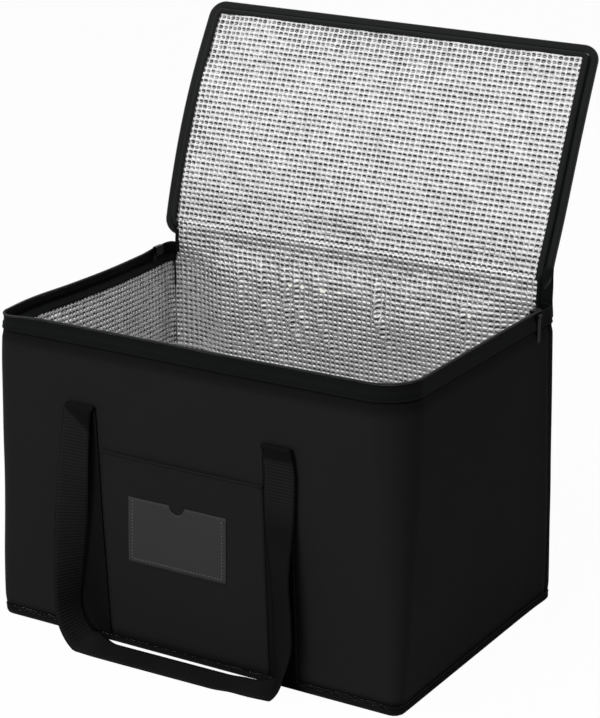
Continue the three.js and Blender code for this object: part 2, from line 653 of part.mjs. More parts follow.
function frontPocket() {
  const group = new THREE.Group();
  const reach = HANDLE_SPACING / 2 - WEBBING_WIDTH / 2 - CLEARANCE;
  const faceY = HALF_DEPTH + CLEARANCE + POCKET_FABRIC;
  const pocket = board(
    HANDLE_CENTRE_X - reach, HANDLE_CENTRE_X + reach, -faceY, -HALF_DEPTH - CLEARANCE, FABRIC_BOTTOM, POCKET_HEIGHT,
  );
  group.add(piece('front_pocket', pocket, OUTER_BLACK));

  const left = WINDOW_CENTRE_X - WINDOW_WIDTH / 2;
  const top = WINDOW_BOTTOM + WINDOW_HEIGHT;
  const outline = new THREE.Shape();
  outline.moveTo(left, WINDOW_BOTTOM);
  outline.lineTo(left + WINDOW_WIDTH, WINDOW_BOTTOM);
  outline.lineTo(left + WINDOW_WIDTH, top);
  outline.lineTo(WINDOW_CENTRE_X + NOTCH_WIDTH / 2, top);
  outline.absellipse(WINDOW_CENTRE_X, top, NOTCH_WIDTH / 2, NOTCH_DEPTH, 0, Math.PI, true, 0);
  outline.lineTo(left, top);
  const sheet = { depth: WINDOW_SHEET, bevelEnabled: false, curveSegments: 10 };
  const geometry = new THREE.ExtrudeGeometry(outline, sheet);
  geometry.rotateX(QUARTER_TURN);
  geometry.translate(0, -faceY - CLEARANCE, 0);
  group.add(piece('card_window', mapVertices(geometry, leanIn), WINDOW_GREY));
  return group;
}

const bag = new THREE.Group();
bag.add(shell(), foamBoards(), foilLining(), rim(), lid(), handles(), frontPocket());
bag.add(zipSlider(-1, 'left'), zipSlider(1, 'right'));

export default bag;
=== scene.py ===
"""A large insulated cooler bag, standing open: black cloth outside, pressed foil inside, webbing handles.

Lengths are in metres. The frame has +Z up, +X to the right seen from the front and +Y to the back, where
the lid hangs. A run is a distance round the bag's walls, seen from above against the clock, from the middle
of the back. An inset is a distance inwards from the outer face of the cloth, below zero outwards.
"""

import logging
import math
from collections.abc import Callable, Sequence
from dataclasses import dataclass, field
from enum import Enum

import bmesh
import bpy
from mathutils import Matrix, Vector, noise

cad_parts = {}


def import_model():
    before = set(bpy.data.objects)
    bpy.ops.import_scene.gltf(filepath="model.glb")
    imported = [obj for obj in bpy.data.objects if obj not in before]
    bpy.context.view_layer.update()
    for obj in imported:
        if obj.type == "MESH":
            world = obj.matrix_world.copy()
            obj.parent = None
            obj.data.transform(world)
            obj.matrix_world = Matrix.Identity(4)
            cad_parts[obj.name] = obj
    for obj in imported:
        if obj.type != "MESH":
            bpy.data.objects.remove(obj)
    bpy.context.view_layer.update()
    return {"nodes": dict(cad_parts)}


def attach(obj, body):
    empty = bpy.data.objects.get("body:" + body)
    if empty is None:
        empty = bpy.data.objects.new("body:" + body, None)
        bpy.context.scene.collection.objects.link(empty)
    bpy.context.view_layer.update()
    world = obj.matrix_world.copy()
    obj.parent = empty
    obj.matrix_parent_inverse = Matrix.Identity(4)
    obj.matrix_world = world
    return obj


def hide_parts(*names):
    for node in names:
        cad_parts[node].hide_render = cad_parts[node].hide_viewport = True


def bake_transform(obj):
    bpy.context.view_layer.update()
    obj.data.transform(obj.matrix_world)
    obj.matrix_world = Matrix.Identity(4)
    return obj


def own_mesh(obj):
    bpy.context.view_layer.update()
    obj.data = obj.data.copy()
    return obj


LOG = logging.getLogger("cooler_bag")
CLOTH_MAP = "cloth"
RIB_AND_SHADE_MAP = "ribs"
BODY = "bag"
LID = "lid"

# The inside of the base, across and deep, and the distance from one turn of a drawn zip coil to the next.
INNER_BASE = (0.486, 0.327)
COIL_PITCH = 0.0024
SOFT = {"interpolation_type": "SMOOTHSTEP"}

Tree = bpy.types.NodeTree
Socket = bpy.types.NodeSocket
Material = bpy.types.Material
Piece = bpy.types.Object
Mesh = bmesh.types.BMesh
Colour = tuple[float, float, float, float]
Pair = tuple[float, float]
Line = list[tuple[Vector, Vector]]
Place = Callable[[float, float], Vector]
Sweep = Callable[[Sequence[Pair]], Place]


class Face(Enum):
    """The two long walls that carry a handle."""

    FRONT = -1
    BACK = 1


class Leg(Enum):
    """The two legs of a webbing handle, seen from the front."""

    LEFT = -1
    RIGHT = 1


class Weave(Enum):
    """How the threads of a cloth cross."""

    PLAIN = "plain"
    CROSS_RIBBED = "cross ribbed"


def linear(code: str) -> Colour:
    """Turns a colour written as sRGB hex into linear values.

    Args:
        code: Six hex digits after a number sign.

    Returns:
        Red, green, blue and an alpha of 1.
    """
    shares = [int(code[i : i + 2], 16) / 255 for i in (1, 3, 5)]
    red, green, blue = (s / 12.92 if s <= 0.04045 else ((s + 0.055) / 1.055) ** 2.4 for s in shares)
    return red, green, blue, 1.0


def ease(start: float, end: float, value: float) -> float:
    """Rises smoothly from 0 at start to 1 at end.

    Args:
        start: Where it is 0.
        end: Where it is 1, which may be below start.
        value: Where it is asked for.

    Returns:
        A share from 0 to 1.
    """
    share = min(1.0, max(0.0, (value - start) / (end - start)))
    return share * share * (3 - 2 * share)


def hump(middle: float, spread: float, value: float) -> float:
    """A bell that is 1 at middle and fades over spread."""
    return math.exp(-(((value - middle) / spread) ** 2))


def mixed(first: float, second: float, share: float) -> float:
    """The value that lies a share of the way from first to second."""
    return first + (second - first) * share


def along(points: Sequence[Pair], share: float) -> Pair:
    """Finds the point at a share of a broken line's length.

    Args:
        points: The corners of the line.
        share: From 0 at the first corner to 1 at the last.

    Returns:
        The point's two coordinates.
    """
    lengths = [math.dist(a, b) for a, b in zip(points, points[1:])]
    left = share * sum(lengths)
    for (a, b), length in zip(zip(points, points[1:]), lengths):
        if left <= length:
            part = left / length if length else 0.0
            return mixed(a[0], b[0], part), mixed(a[1], b[1], part)
        left -= length
    return points[-1]


def add(tree: Tree, kind: str, settings: dict | None = None, links: dict | None = None) -> bpy.types.Node:
    """Adds a node with its settings and its links.

    Args:
        tree: The material's or the world's tree.
        kind: The node's type.
        settings: Values by socket name, socket number or property name.
        links: Sockets to link from, by the name or number of the socket that they go to.

    Returns:
        The new node.
    """
    node = tree.nodes.new(kind)
    for key, value in (settings or {}).items():
        if isinstance(key, int) or key in node.inputs:
            node.inputs[key].default_value = value
        else:
            setattr(node, key, value)
    for key, source in (links or {}).items():
        tree.links.new(source, node.inputs[key])
    return node


def new_material(name: str) -> Material:
    """Makes a material with an empty tree."""
    material = bpy.data.materials.new(name)
    material.use_nodes = True
    material.node_tree.nodes.clear()
    return material


def bands(tree: Tree, place: Socket, axis: str, pitch: float) -> Socket:
    """Adds even ridges across a surface.

    Args:
        tree: The material's tree.
        place: The coordinates that the ridges are counted in, in metres.
        axis: X or Y, the direction in which they follow one another.
        pitch: The distance from one ridge to the next, in metres.

    Returns:
        A height from 0 to 1.
    """
    scale = math.pi / (10 * pitch)
    settings = {"wave_type": "BANDS", "bands_direction": axis, "Scale": scale}
    return add(tree, "ShaderNodeTexWave", settings, {"Vector": place}).outputs["Fac"]


def cloud(tree: Tree, place: Socket, scale: float, detail: float, roughness: float = 0.5) -> Socket:
    """Adds soft noise from 0 to 1, with so many patches to the metre and so much detail."""
    settings = {"Scale": scale, "Detail": detail, "Roughness": roughness}
    return add(tree, "ShaderNodeTexNoise", settings, {"Vector": place}).outputs["Fac"]


def maths(tree: Tree, operation: str, first: Socket | float, second: Socket | float) -> Socket:
    """Adds a sum of two sockets or numbers.

    Args:
        tree: The material's tree.
        operation: The Math node's operation.
        first: A socket or a number.
        second: A socket or a number.

    Returns:
        The result's socket.
    """
    given = {0: first, 1: second}
    numbers = {k: v for k, v in given.items() if isinstance(v, (int, float))}
    sockets = {k: v for k, v in given.items() if k not in numbers}
    return add(tree, "ShaderNodeMath", {"operation": operation, **numbers}, sockets).outputs[0]


def weighed(tree: Tree, *parts: tuple[Socket, float]) -> Socket:
    """Adds up sockets, each times its own weight."""
    first, *others = (maths(tree, "MULTIPLY", socket, weight) for socket, weight in parts)
    for other in others:
        first = maths(tree, "ADD", first, other)
    return first


def vector(
    tree: Tree,
    operation: str,
    first: Socket,
    second: Socket | tuple[float, float, float] = (0.0, 0.0, 0.0),
) -> Socket:
    """Adds a sum of two vectors.

    Args:
        tree: The material's tree.
        operation: The Vector Math node's operation.
        first: A socket.
        second: A socket or a constant.

    Returns:
        The result's socket, a number for a dot product and a vector for the others.
    """
    constants, links = ({1: second}, {}) if isinstance(second, tuple) else ({}, {1: second})
    node = add(tree, "ShaderNodeVectorMath", {"operation": operation} | constants, {0: first} | links)
    return node.outputs["Value" if operation == "DOT_PRODUCT" else "Vector"]


def tint(tree: Tree, share: Socket, first: Socket | Colour, second: Socket | Colour) -> Socket:
    """Adds a mix of two colours.

    Args:
        tree: The material's tree.
        share: How much of the second colour there is.
        first: A socket or a linear colour.
        second: A socket or a linear colour.

    Returns:
        The colour's socket.
    """
    given = {6: first, 7: second}
    constants = {k: v for k, v in given.items() if isinstance(v, tuple)}
    sockets = {k: v for k, v in given.items() if k not in constants}
    return add(tree, "ShaderNodeMix", constants | {"data_type": "RGBA"}, {0: share} | sockets).outputs[2]


@dataclass(frozen=True)
class Skin:
    """What every finish ends with: an uneven gloss, a bump and the shader's own constants."""

    spread: float
    roughness: float
    relief: float
    strength: float
    constants: dict[str, float]

    def close(self, tree: Tree, colour: Socket, grain: Socket, height: Socket) -> None:
        """Adds the shader and the output.

        Args:
            tree: The material's tree.
            colour: The colour's socket.
            grain: What makes the gloss uneven.
            height: The bump's height.
        """
        least = self.roughness - self.spread / 2
        gloss = maths(tree, "ADD", maths(tree, "MULTIPLY", grain, self.spread), least)
        settings = {"Strength": self.strength, "Distance": self.relief}
        bump = add(tree, "ShaderNodeBump", settings, {"Height": height}).outputs["Normal"]
        links = {"Base Color": colour, "Roughness": gloss, "Normal": bump}
        shader = add(tree, "ShaderNodeBsdfPrincipled", self.constants, links)
        add(tree, "ShaderNodeOutputMaterial", links={"Surface": shader.outputs[0]})


@dataclass(frozen=True)
class WovenCloth:
    """Polyester cloth from black yarn. Its threads break the light into a dull, even sheen."""

    name: str
    dark: str
    pale: str
    thread: float
    weave: Weave = Weave.PLAIN
    relief: float = 0.00012
    roughness: float = 0.6
    specular: float = 0.07
    patch: float = 14.0
    # The colour painted as shade where the ribs lie flat, none if empty.
    pressed_and_shaded: str = ""
    painted_seam_shade: float = 0.0

    def make(self) -> Material:
        """Builds the material.

        Returns:
            The material, whose weave follows the cloth.
        """
        material = new_material(self.name)
        tree = material.node_tree
        place = add(tree, "ShaderNodeUVMap", {"uv_map": CLOTH_MAP}).outputs["UV"]
        # The real threads are about 0.4 mm apart. They are drawn as far apart as a render can show.
        across, lengthwise = bands(tree, place, "Y", self.thread), bands(tree, place, "X", self.thread)
        if self.weave is Weave.CROSS_RIBBED:
            across = maths(tree, "ADD", maths(tree, "MULTIPLY", across, 0.25), 0.75)
        height = maths(tree, "MULTIPLY", lengthwise, across)
        where = add(tree, "ShaderNodeTexCoord").outputs["Object"]
        # Handling leaves broad, faint differences in the sheen.
        broad, fine = cloud(tree, where, self.patch, 3.0), cloud(tree, where, 900.0, 2.0)
        # The colour is paler on the tops of the threads and ribs and darker between them, painted light and
        # shade on the weave, and the broad noise varies it at random.
        tone = weighed(tree, (broad, 0.55), (height, 0.45))
        colour = tint(tree, tone, linear(self.dark), linear(self.pale))
        if self.pressed_and_shaded:
            # Where the band is pressed smooth its ribs lie flat, and there its colour is painted an even,
            # deeper black as shade.
            marks = add(tree, "ShaderNodeUVMap", {"uv_map": RIB_AND_SHADE_MAP}).outputs["UV"]
            standing = add(tree, "ShaderNodeSeparateXYZ", links={"Vector": marks}).outputs["X"]
            colour = tint(tree, standing, linear(self.pressed_and_shaded), colour)
            height = maths(tree, "MULTIPLY", height, standing)
        if self.painted_seam_shade:
            # Just above the base seam and just below the rim the colour is painted darker: painted shade
            # where the cloth is drawn in.
            level = add(tree, "ShaderNodeSeparateXYZ", links={"Vector": where}).outputs["Z"]
            low = self.strip(tree, level, (0.002, 0.006), (0.012, 0.021))
            high = self.strip(tree, level, (0.316, 0.330), (0.336, 0.340))
            seam_shade_mask = maths(tree, "MAXIMUM", maths(tree, "MAXIMUM", low, 0.0), high)
            colour = tint(tree, maths(tree, "MULTIPLY", seam_shade_mask, self.painted_seam_shade), colour, linear("#020202"))
        skin = Skin(0.12, self.roughness, self.relief, 0.6, {"Specular IOR Level": self.specular})
        skin.close(tree, colour, fine, height)
        return material

    def strip(self, tree: Tree, level: Socket, rising: Pair, falling: Pair) -> Socket:
        """Adds a soft strip.

        Args:
            tree: The material's tree.
            level: The height's socket.
            rising: The heights between which it rises from 0 to 1.
            falling: The heights between which it falls back to 0.

        Returns:
            The strip's strength.
        """
        edges = []
        for start, end in (rising, falling):
            settings = SOFT | {"From Min": start, "From Max": end}
            edges.append(add(tree, "ShaderNodeMapRange", settings, {"Value": level}).outputs[0])
        return maths(tree, "SUBTRACT", *edges)


@dataclass(frozen=True)
class PressedFoil:
    """Aluminium film on cloth, pressed in cells. Each cell catches the light, and painted shade keeps the
    upper half of its dent grey.
    """

    name: str = "aluminium_film_pressed_in_cells"
    ridge: str = "#f4f4f4"
    dent_shade: str = "#484848"
    cell_across: float = 0.0065
    cell_up: float = 0.0061
    relief: float = 0.0022
    roughness: float = 0.15
    tilt: float = 1.3

    def make(self) -> Material:
        """Builds the material.

        Returns:
            The material, whose cells follow the sheet.
        """
        material = new_material(self.name)
        tree = material.node_tree
        place = add(tree, "ShaderNodeUVMap", {"uv_map": CLOTH_MAP}).outputs["UV"]
        column, row = bands(tree, place, "X", self.cell_across), bands(tree, place, "Y", self.cell_up)
        crumple = cloud(tree, place, 260.0, 3.0, 0.6)
        buckle, broad = cloud(tree, place, 55.0, 2.0), cloud(tree, place, 15.0, 1.0)
        # Each cell has a flat dent, wider than it is high, whose upper side looks down and stays dark.
        off_column = maths(tree, "SUBTRACT", 1.0, column)
        across = maths(tree, "SUBTRACT", 1.0, maths(tree, "POWER", off_column, 2.0))
        dent = maths(tree, "MULTIPLY", across, maths(tree, "POWER", row, 2.2))
        # Each cell lies at its own small angle, so that one flashes and the next one stays grey.
        counted = vector(tree, "DIVIDE", place, (self.cell_across, self.cell_up, 1.0))
        number, inside = vector(tree, "FLOOR", counted), vector(tree, "FRACTION", counted)
        middle = vector(tree, "SUBTRACT", inside, (0.5, 0.5, 0.0))
        random = add(tree, "ShaderNodeTexWhiteNoise", {"noise_dimensions": "3D"}, {"Vector": number})
        chance = random.outputs["Color"]
        lean = vector(tree, "SUBTRACT", chance, (0.5, 0.5, 0.5))
        slope = vector(tree, "DOT_PRODUCT", middle, lean)
        uneven = add(tree, "ShaderNodeSeparateXYZ", links={"Vector": chance}).outputs["Z"]
        depth = maths(tree, "MULTIPLY", dent, maths(tree, "ADD", maths(tree, "MULTIPLY", uneven, 0.7), 0.65))
        dome = maths(tree, "MULTIPLY", column, row)
        tilt = maths(tree, "MULTIPLY", maths(tree, "MULTIPLY", slope, dome), self.tilt)
        rough = weighed(tree, (crumple, 0.5), (buckle, 1.5), (broad, 3.0))
        height = maths(tree, "ADD", maths(tree, "SUBTRACT", tilt, depth), rough)
        # The colour is painted darker in the upper half of each dent as shade, more in some cells than in
        # others.
        raised = vector(tree, "ADD", place, (0.0, -0.22 * self.cell_up, 0.0))
        dent_shade_mask = maths(tree, "POWER", bands(tree, raised, "Y", self.cell_up), 2.6)
        dent_shade_mask = maths(tree, "MULTIPLY", across, dent_shade_mask)
        dent_shade_mask = maths(tree, "MULTIPLY", dent_shade_mask, maths(tree, "ADD", uneven, 0.45))
        light = maths(tree, "ADD", maths(tree, "MULTIPLY", crumple, 0.8), 0.55)
        tone = maths(tree, "SUBTRACT", light, dent_shade_mask)
        colour = tint(tree, tone, linear(self.dent_shade), linear(self.ridge))
        Skin(0.12, self.roughness, self.relief, 1.0, {"Metallic": 0.78}).close(tree, colour, crumple, height)
        return material


@dataclass(frozen=True)
class Solid:
    """A moulded or lacquered material in one colour, with the fine unevenness of its making."""

    name: str
    dark: str
    pale: str
    roughness: float
    grain: float
    relief: float
    coat: float = 0.0
    specular: float = 0.5

    def make(self) -> Material:
        """Builds the material.

        Returns:
            The material, whose grain is counted in the piece's own metres.
        """
        material = new_material(self.name)
        tree = material.node_tree
        where = add(tree, "ShaderNodeTexCoord").outputs["Object"]
        grain = cloud(tree, where, 1 / self.grain, 4.0)
        colour = tint(tree, grain, linear(self.dark), linear(self.pale))
        constants = {"Coat Weight": self.coat, "Coat Roughness": 0.15, "Specular IOR Level": self.specular}
        Skin(0.2, self.roughness, self.relief, 0.5, constants).close(tree, colour, grain, grain)
        return material


@dataclass
class Finishes:
    """Every finish on the bag, made once."""

    shell: Material = field(init=False)
    trim: Material = field(init=False)
    tape: Material = field(init=False)
    webbing: Material = field(init=False)
    foil: Material = field(init=False)
    foam: Material = field(init=False)
    board: Material = field(init=False)
    film: Material = field(init=False)
    nylon: Material = field(init=False)
    lacquer: Material = field(init=False)
    thread: Material = field(init=False)
    clear_thread: Material = field(init=False)

    def __post_init__(self) -> None:
        """Builds the materials."""
        # Coated polyester: a smooth black face that turns grey only where it faces the light, with shade
        # painted in soft bands above the base seam and below the rim.
        self.shell = WovenCloth(
            "coated_polyester_cloth", "#1b1b1b", "#1d1d1d", 0.0012, specular=0.03, painted_seam_shade=0.5
        ).make()
        # Grosgrain tape: the same yarn, ribbed across, with a slightly greener black.
        ribbed = Weave.CROSS_RIBBED
        self.trim = WovenCloth(
            "grosgrain_tape", "#101111", "#1a1c1b", 0.0014, ribbed, roughness=0.5, specular=0.12
        ).make()
        # The rim's tape is woven closer and lies flat, so that it stays a deep, even black.
        self.tape = WovenCloth(
            "close_woven_zip_tape", "#0b0c0c", "#121313", 0.0014, ribbed, specular=0.05
        ).make()
        # Heavy polypropylene webbing: thick cross ribs of shiny yarn, painted a deeper black as shade where
        # the ribs lie flat.
        self.webbing = WovenCloth(
            "polypropylene_webbing",
            "#0d0d0d",
            "#1f1f1f",
            0.0035,
            ribbed,
            relief=0.0012,
            roughness=0.5,
            specular=0.04,
            pressed_and_shaded="#0a0a0a",
        ).make()
        self.foil = PressedFoil().make()
        # Closed-cell polyethylene foam: white, matt, with the prints of its bubbles.
        self.foam = Solid("polyethylene_foam", "#dcdad2", "#f0eee6", 0.85, 0.002, 0.0003).make()
        # Polypropylene board: extruded, grey, faintly glossy.
        self.board = Solid("extruded_polypropylene_board", "#7e8080", "#8c8e8e", 0.5, 0.004, 0.00008).make()
        # Clear vinyl film over black cloth: milky dark grey, glossy, a little wavy.
        self.film = Solid(
            "clear_vinyl_film", "#232323", "#282828", 0.4, 0.05, 0.0003, coat=0.03, specular=0.25
        ).make()
        # Nylon coil: black, with the soft gloss of a drawn wire.
        self.nylon = Solid("drawn_nylon_coil", "#0c0d0d", "#1a1b1b", 0.4, 0.003, 0.0001, specular=0.3).make()
        # Zinc casting under black lacquer: glossy and almost even.
        self.lacquer = Solid(
            "black_lacquered_zinc", "#070808", "#0c0d0d", 0.35, 0.006, 0.00003, coat=0.05, specular=0.12
        ).make()
        # Twisted polyester thread, as black as the cloth.
        self.thread = Solid("polyester_thread", "#141414", "#202020", 0.6, 0.001, 0.0001, specular=0.1).make()
        # Clear nylon thread, which shows as pale dots on the dark film.
        self.clear_thread = Solid(
            "clear_nylon_thread", "#5c5c5c", "#747474", 0.4, 0.001, 0.0001, specular=0.4
        ).make()


def put(name: str, form: Mesh, finish: Material) -> Piece:
    """Turns a finished form into an object at the origin.

    Args:
        name: The piece's name.
        form: The form, which is freed.
        finish: The material.

    Returns:
        The object.
    """
    mesh = bpy.data.meshes.new(name)
    form.to_mesh(mesh)
    form.free()
    mesh.materials.append(finish)
    piece = bpy.data.objects.new(name, mesh)
    bpy.context.scene.collection.objects.link(piece)
    return piece


def thicken(piece: Piece, thickness: float, offset: float = -1.0) -> Piece:
    """Gives a sheet its thickness.

    Args:
        piece: The sheet.
        thickness: In metres.
        offset: -1 to grow away from the side that faces out, 0 to both sides.

    Returns:
        The same object.
    """
    wall = piece.modifiers.new("thickness", "SOLIDIFY")
    wall.thickness = thickness
    wall.offset = offset
    wall.use_even_offset = True
    return piece


def settle(piece: Piece) -> Piece:
    """Turns a piece's modifiers into mesh."""
    final = piece.evaluated_get(bpy.context.evaluated_depsgraph_get())
    piece.data = bpy.data.meshes.new_from_object(final)
    piece.modifiers.clear()
    return piece


def dress(piece: Piece, body: str, slot: str, *nodes: str) -> Piece:
    """Lets a piece ride on a body and stand for its nodes.

    Args:
        piece: The piece.
        body: The body's name.
        slot: A material slot, which is not used.
        nodes: The nodes that it stands for.

    Returns:
        The same object.
    """
    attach(piece, body)
    finish_piece(piece, slot, *nodes)
    return piece


def finish_piece(piece: Piece, slot: str, *nodes: str) -> None:
    """Hides the nodes that a piece stands for, and logs it."""
    if nodes:
        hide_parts(*nodes)
    LOG.info("%s: %d faces, for %s", piece.name, len(piece.data.polygons), ", ".join(nodes) or "no node")


@dataclass
class Patch:
    """A grid of cloth that a function of two shares lays into place."""

    name: str
    size: Pair
    cells: Pair
    place: Place
    wraps: bool = False
    tube: bool = False
    flip: bool = False
    measure: Callable[[float, float], Pair] | None = None
    ribs: Callable[[float, float], float] | None = None

    def form(self) -> Mesh:
        """Makes the grid, measures it and moves it into place.

        Returns:
            The form.
        """
        form = bmesh.new()
        columns, rows = (max(1, round(s / c)) for s, c in zip(self.size, self.cells))
        bmesh.ops.create_grid(form, x_segments=columns, y_segments=rows, size=0.5)
        layer = form.loops.layers.uv.new(CLOTH_MAP)
        ribs = form.loops.layers.uv.new(RIB_AND_SHADE_MAP) if self.ribs else None
        for face in form.faces:
            face.smooth = True
            for loop in face.loops:
                u, v = loop.vert.co.x + 0.5, loop.vert.co.y + 0.5
                loop[layer].uv = self.measure(u, v) if self.measure else (u * self.size[0], v * self.size[1])
                if ribs:
                    loop[ribs].uv = (self.ribs(u, v), 0.0)
        for vert in form.verts:
            vert.co = self.place(vert.co.x + 0.5, vert.co.y + 0.5)
        if self.wraps or self.tube:
            bmesh.ops.remove_doubles(form, verts=form.verts, dist=1e-6)
        if self.tube:
            if not self.wraps:
                edges = [e for e in form.edges if e.is_boundary]
                caps = bmesh.ops.holes_fill(form, edges=edges, sides=0)
                for face in caps["faces"]:
                    face.smooth = False
            bmesh.ops.recalc_face_normals(form, faces=form.faces)
        if self.flip:
            bmesh.ops.reverse_faces(form, faces=form.faces)
        return form

    def build(self, finish: Material) -> Piece:
        """Makes the piece.

        Args:
            finish: Its material.

        Returns:
            The object, still without thickness unless it is a tube.
        """
        return put(self.name, self.form(), finish)


@dataclass(frozen=True)
class BoxForm:
    """The soft box that every wall piece follows: its plan, its lean and the way that it sags."""

    width: float = 0.512
    depth: float = 0.358
    height: float = 0.356
    corner: float = 0.020
    base_corner: float = 0.013
    near_rim_corner: float = 0.046
    hold: float = 0.060
    side_lean: float = 0.004
    front_lean: float = 0.0085
    back_lean: float = 0.0170
    corner_flare: float = 0.0115

    @property
    def round_run(self) -> float:
        """The whole way round the walls."""
        return 2 * (self.width + self.depth - 4 * self.corner) + 2 * math.pi * self.corner

    def front_run(self, x: float) -> float:
        """The run at x on the front wall."""
        return self.round_run / 2 + x

    def back_run(self, x: float) -> float:
        """The run at x on the back wall."""
        return -x

    def left_run(self, y: float) -> float:
        """The run at y on the left wall."""
        return self.round_run / 4 - y

    def right_run(self, y: float) -> float:
        """The run at y on the right wall."""
        return self.round_run * 3 / 4 + y

    def corner_runs(self) -> list[float]:
        """The runs of the four corners' middles, from the back left one on."""
        back = self.width / 2 - self.corner + math.pi * self.corner / 4
        half = self.round_run / 2
        return [back, half - back, half + back, 2 * half - back]

    def corner_radius(self, which: int, z: float) -> float:
        """How round a corner is at a height. The near corner, the third, is pulled round at the rim."""
        radius = mixed(self.base_corner, self.corner, ease(0.0, 0.12, z))
        if which == 2:
            radius += (self.near_rim_corner - self.corner) * ease(0.05, self.height, z)
        return radius

    def plan(self, run: float, inset: float, z: float) -> Pair:
        """Finds a point of the walls' plan, before they lean.

        Args:
            run: The distance round the walls.
            inset: The distance inwards.
            z: The height, which sets how round the corners are.

        Returns:
            The point's x and y.
        """
        whole = self.round_run
        offsets = [(run - middle + whole / 2) % whole - whole / 2 for middle in self.corner_runs()]
        which = min(range(4), key=lambda k: abs(offsets[k]))
        away = offsets[which]
        ahead = Vector(((-1, 0), (0, -1), (1, 0), (0, 1))[which])
        after = Vector(((0, -1), (1, 0), (0, 1), (-1, 0))[which])
        side_x, side_y = ((-1, 1), (-1, -1), (1, -1), (1, 1))[which]
        apex = Vector((side_x * self.width / 2, side_y * self.depth / 2))
        out_ahead = Vector((ahead.y, -ahead.x))
        out_after = Vector((after.y, -after.x))
        radius = self.corner_radius(which, z)
        edge = self.corner + self.hold - math.pi * self.corner / 4
        arc = math.pi * radius / 4
        step = abs(away) * (edge - radius + arc) / self.hold
        if abs(away) > self.hold:
            step = arc + edge - radius + abs(away) - self.hold
        if step < arc:
            angle = math.pi / 4 + math.copysign(step / radius, away)
            out = out_ahead * math.cos(angle) + out_after * math.sin(angle)
            point = apex - ahead * radius + after * radius + out * (radius - inset)
        elif away < 0:
            point = apex - ahead * (radius + step - arc) - out_ahead * inset
        else:
            point = apex + after * (radius + step - arc) - out_after * inset
        return point.x, point.y

    def lean(self, x: float, y: float, z: float) -> Vector:
        """Leans a point of the plan inwards as the walls do."""
        rise = z / self.height
        tilt = self.front_lean if y < 0 else self.back_lean
        across = 1 - self.side_lean * rise * 2 / self.width
        return Vector((x * across, y * (1 - tilt * rise * 2 / self.depth), z))

    def slump(self, point: Vector) -> Vector:
        """Moves a point as the soft walls sag, so that all layers move together.

        Args:
            point: A point of the leaning box.

        Returns:
            The point in the sagging box.
        """
        x, y, z = point
        rise = min(1.0, max(0.0, z / self.height))
        front, back = ease(-0.10, -0.16, y), ease(0.10, 0.16, y)
        left, right = ease(-0.19, -0.245, x), ease(0.19, 0.245, x)
        belly = math.sin(math.pi * rise)
        # The left rim stands out before its middle, is drawn in at it, and stands out again at the back.
        bow = 0.0065 * hump(-0.105, 0.055, y) + 0.0035 * ease(0.05, 0.17, y) - 0.001 * hump(0.03, 0.04, y)
        x -= left * rise**1.5 * bow
        x += (right * 0.0016 - left * 0.0032) * belly
        low_sag = 0.0034 * hump(0.075, 0.065, z) * ease(0.0, -0.15, y) * ease(0.0, 0.012, z)
        x -= left * (low_sag + 0.0012 * rise**2)
        y -= front * (0.0012 * belly * math.cos(math.pi * x / 0.56) + 0.0015 * rise**2 * hump(0.06, 0.12, x))
        y += back * 0.002 * belly * math.cos(math.pi * x / 0.56)
        y -= back * 0.004 * hump(0.292, 0.042, z) * ease(0.23, 0.17, abs(x))
        # The ends of the zip hold the back corners out.
        flare = ease(0.165, 0.225, abs(x)) * back * mixed(0.35, 1.0, rise)
        y += self.corner_flare * flare
        x += math.copysign(0.002 * flare, x)
        x += 0.0035 * ease(0.142, 0.170, y) * ease(0.165, 0.225, x) * mixed(0.25, 1.0, rise)
        # The soft tape of the left rim folds over a little.
        z -= left * 0.0034 * ease(0.334, 0.352, z) * mixed(1.0, 0.45, ease(0.10, 0.15, y))
        # Broad shallow folds, calm at the base and at the rim.
        calm = ease(0.008, 0.06, z) * (1 - 0.65 * ease(0.29, 0.335, z))
        fold = noise.noise(Vector((x * 8.5, y * 8.5, z * 6.0 + 3.1)))
        fold += 0.45 * noise.noise(Vector((x * 21, y * 21, z * 13 + 7.7)))
        x += (right - left) * 0.0011 * fold * calm
        y += (back - front) * 0.0011 * fold * calm
        return Vector((x, y, z))

    def wall(self, run: float, inset: float, z: float) -> Vector:
        """Finds a point in the walls, leaning and sagging."""
        x, y = self.plan(run, inset, z)
        return self.slump(self.lean(x, y, z))

    def floor(self, x: float, y: float, z: float) -> Vector:
        """Finds a point in the base, which hardly sags."""
        return self.slump(self.lean(x, y, z))


def ring(form: BoxForm, profile: Sequence[Pair], runs: Pair | None = None, waver: float = 0.0) -> Place:
    """Lays a closed or open profile of insets and heights round the walls.

    Args:
        form: The box.
        profile: The corners of the profile, as inset and height.
        runs: The first and last run, or None for all the way round.
        waver: How far the height wavers, in metres.

    Returns:
        A function that places a share of the run and a share of the profile.
    """
    start, end = runs or (0.0, form.round_run)

    def place(u: float, v: float) -> Vector:
        """Places one point of the ring."""
        inset, z = along(profile, v)
        run = mixed(start, end, u)
        turn = 2 * math.pi * run / form.round_run
        lift = waver * noise.noise(Vector((math.cos(turn) * 2.2, math.sin(turn) * 2.2, 1.7)))
        point = form.wall(run, inset, z)
        point.z += lift
        return point

    return place


def profile_length(profile: Sequence[Pair]) -> float:
    """The length of a profile's line."""
    return sum(math.dist(a, b) for a, b in zip(profile, profile[1:]))


def round_profile(middle: Pair, radius: float, steps: int = 10) -> list[Pair]:
    """A closed round profile for piping and coils."""
    turns = [2 * math.pi * k / steps for k in range(steps + 1)]
    return [(middle[0] + radius * math.cos(t), middle[1] + radius * math.sin(t)) for t in turns]


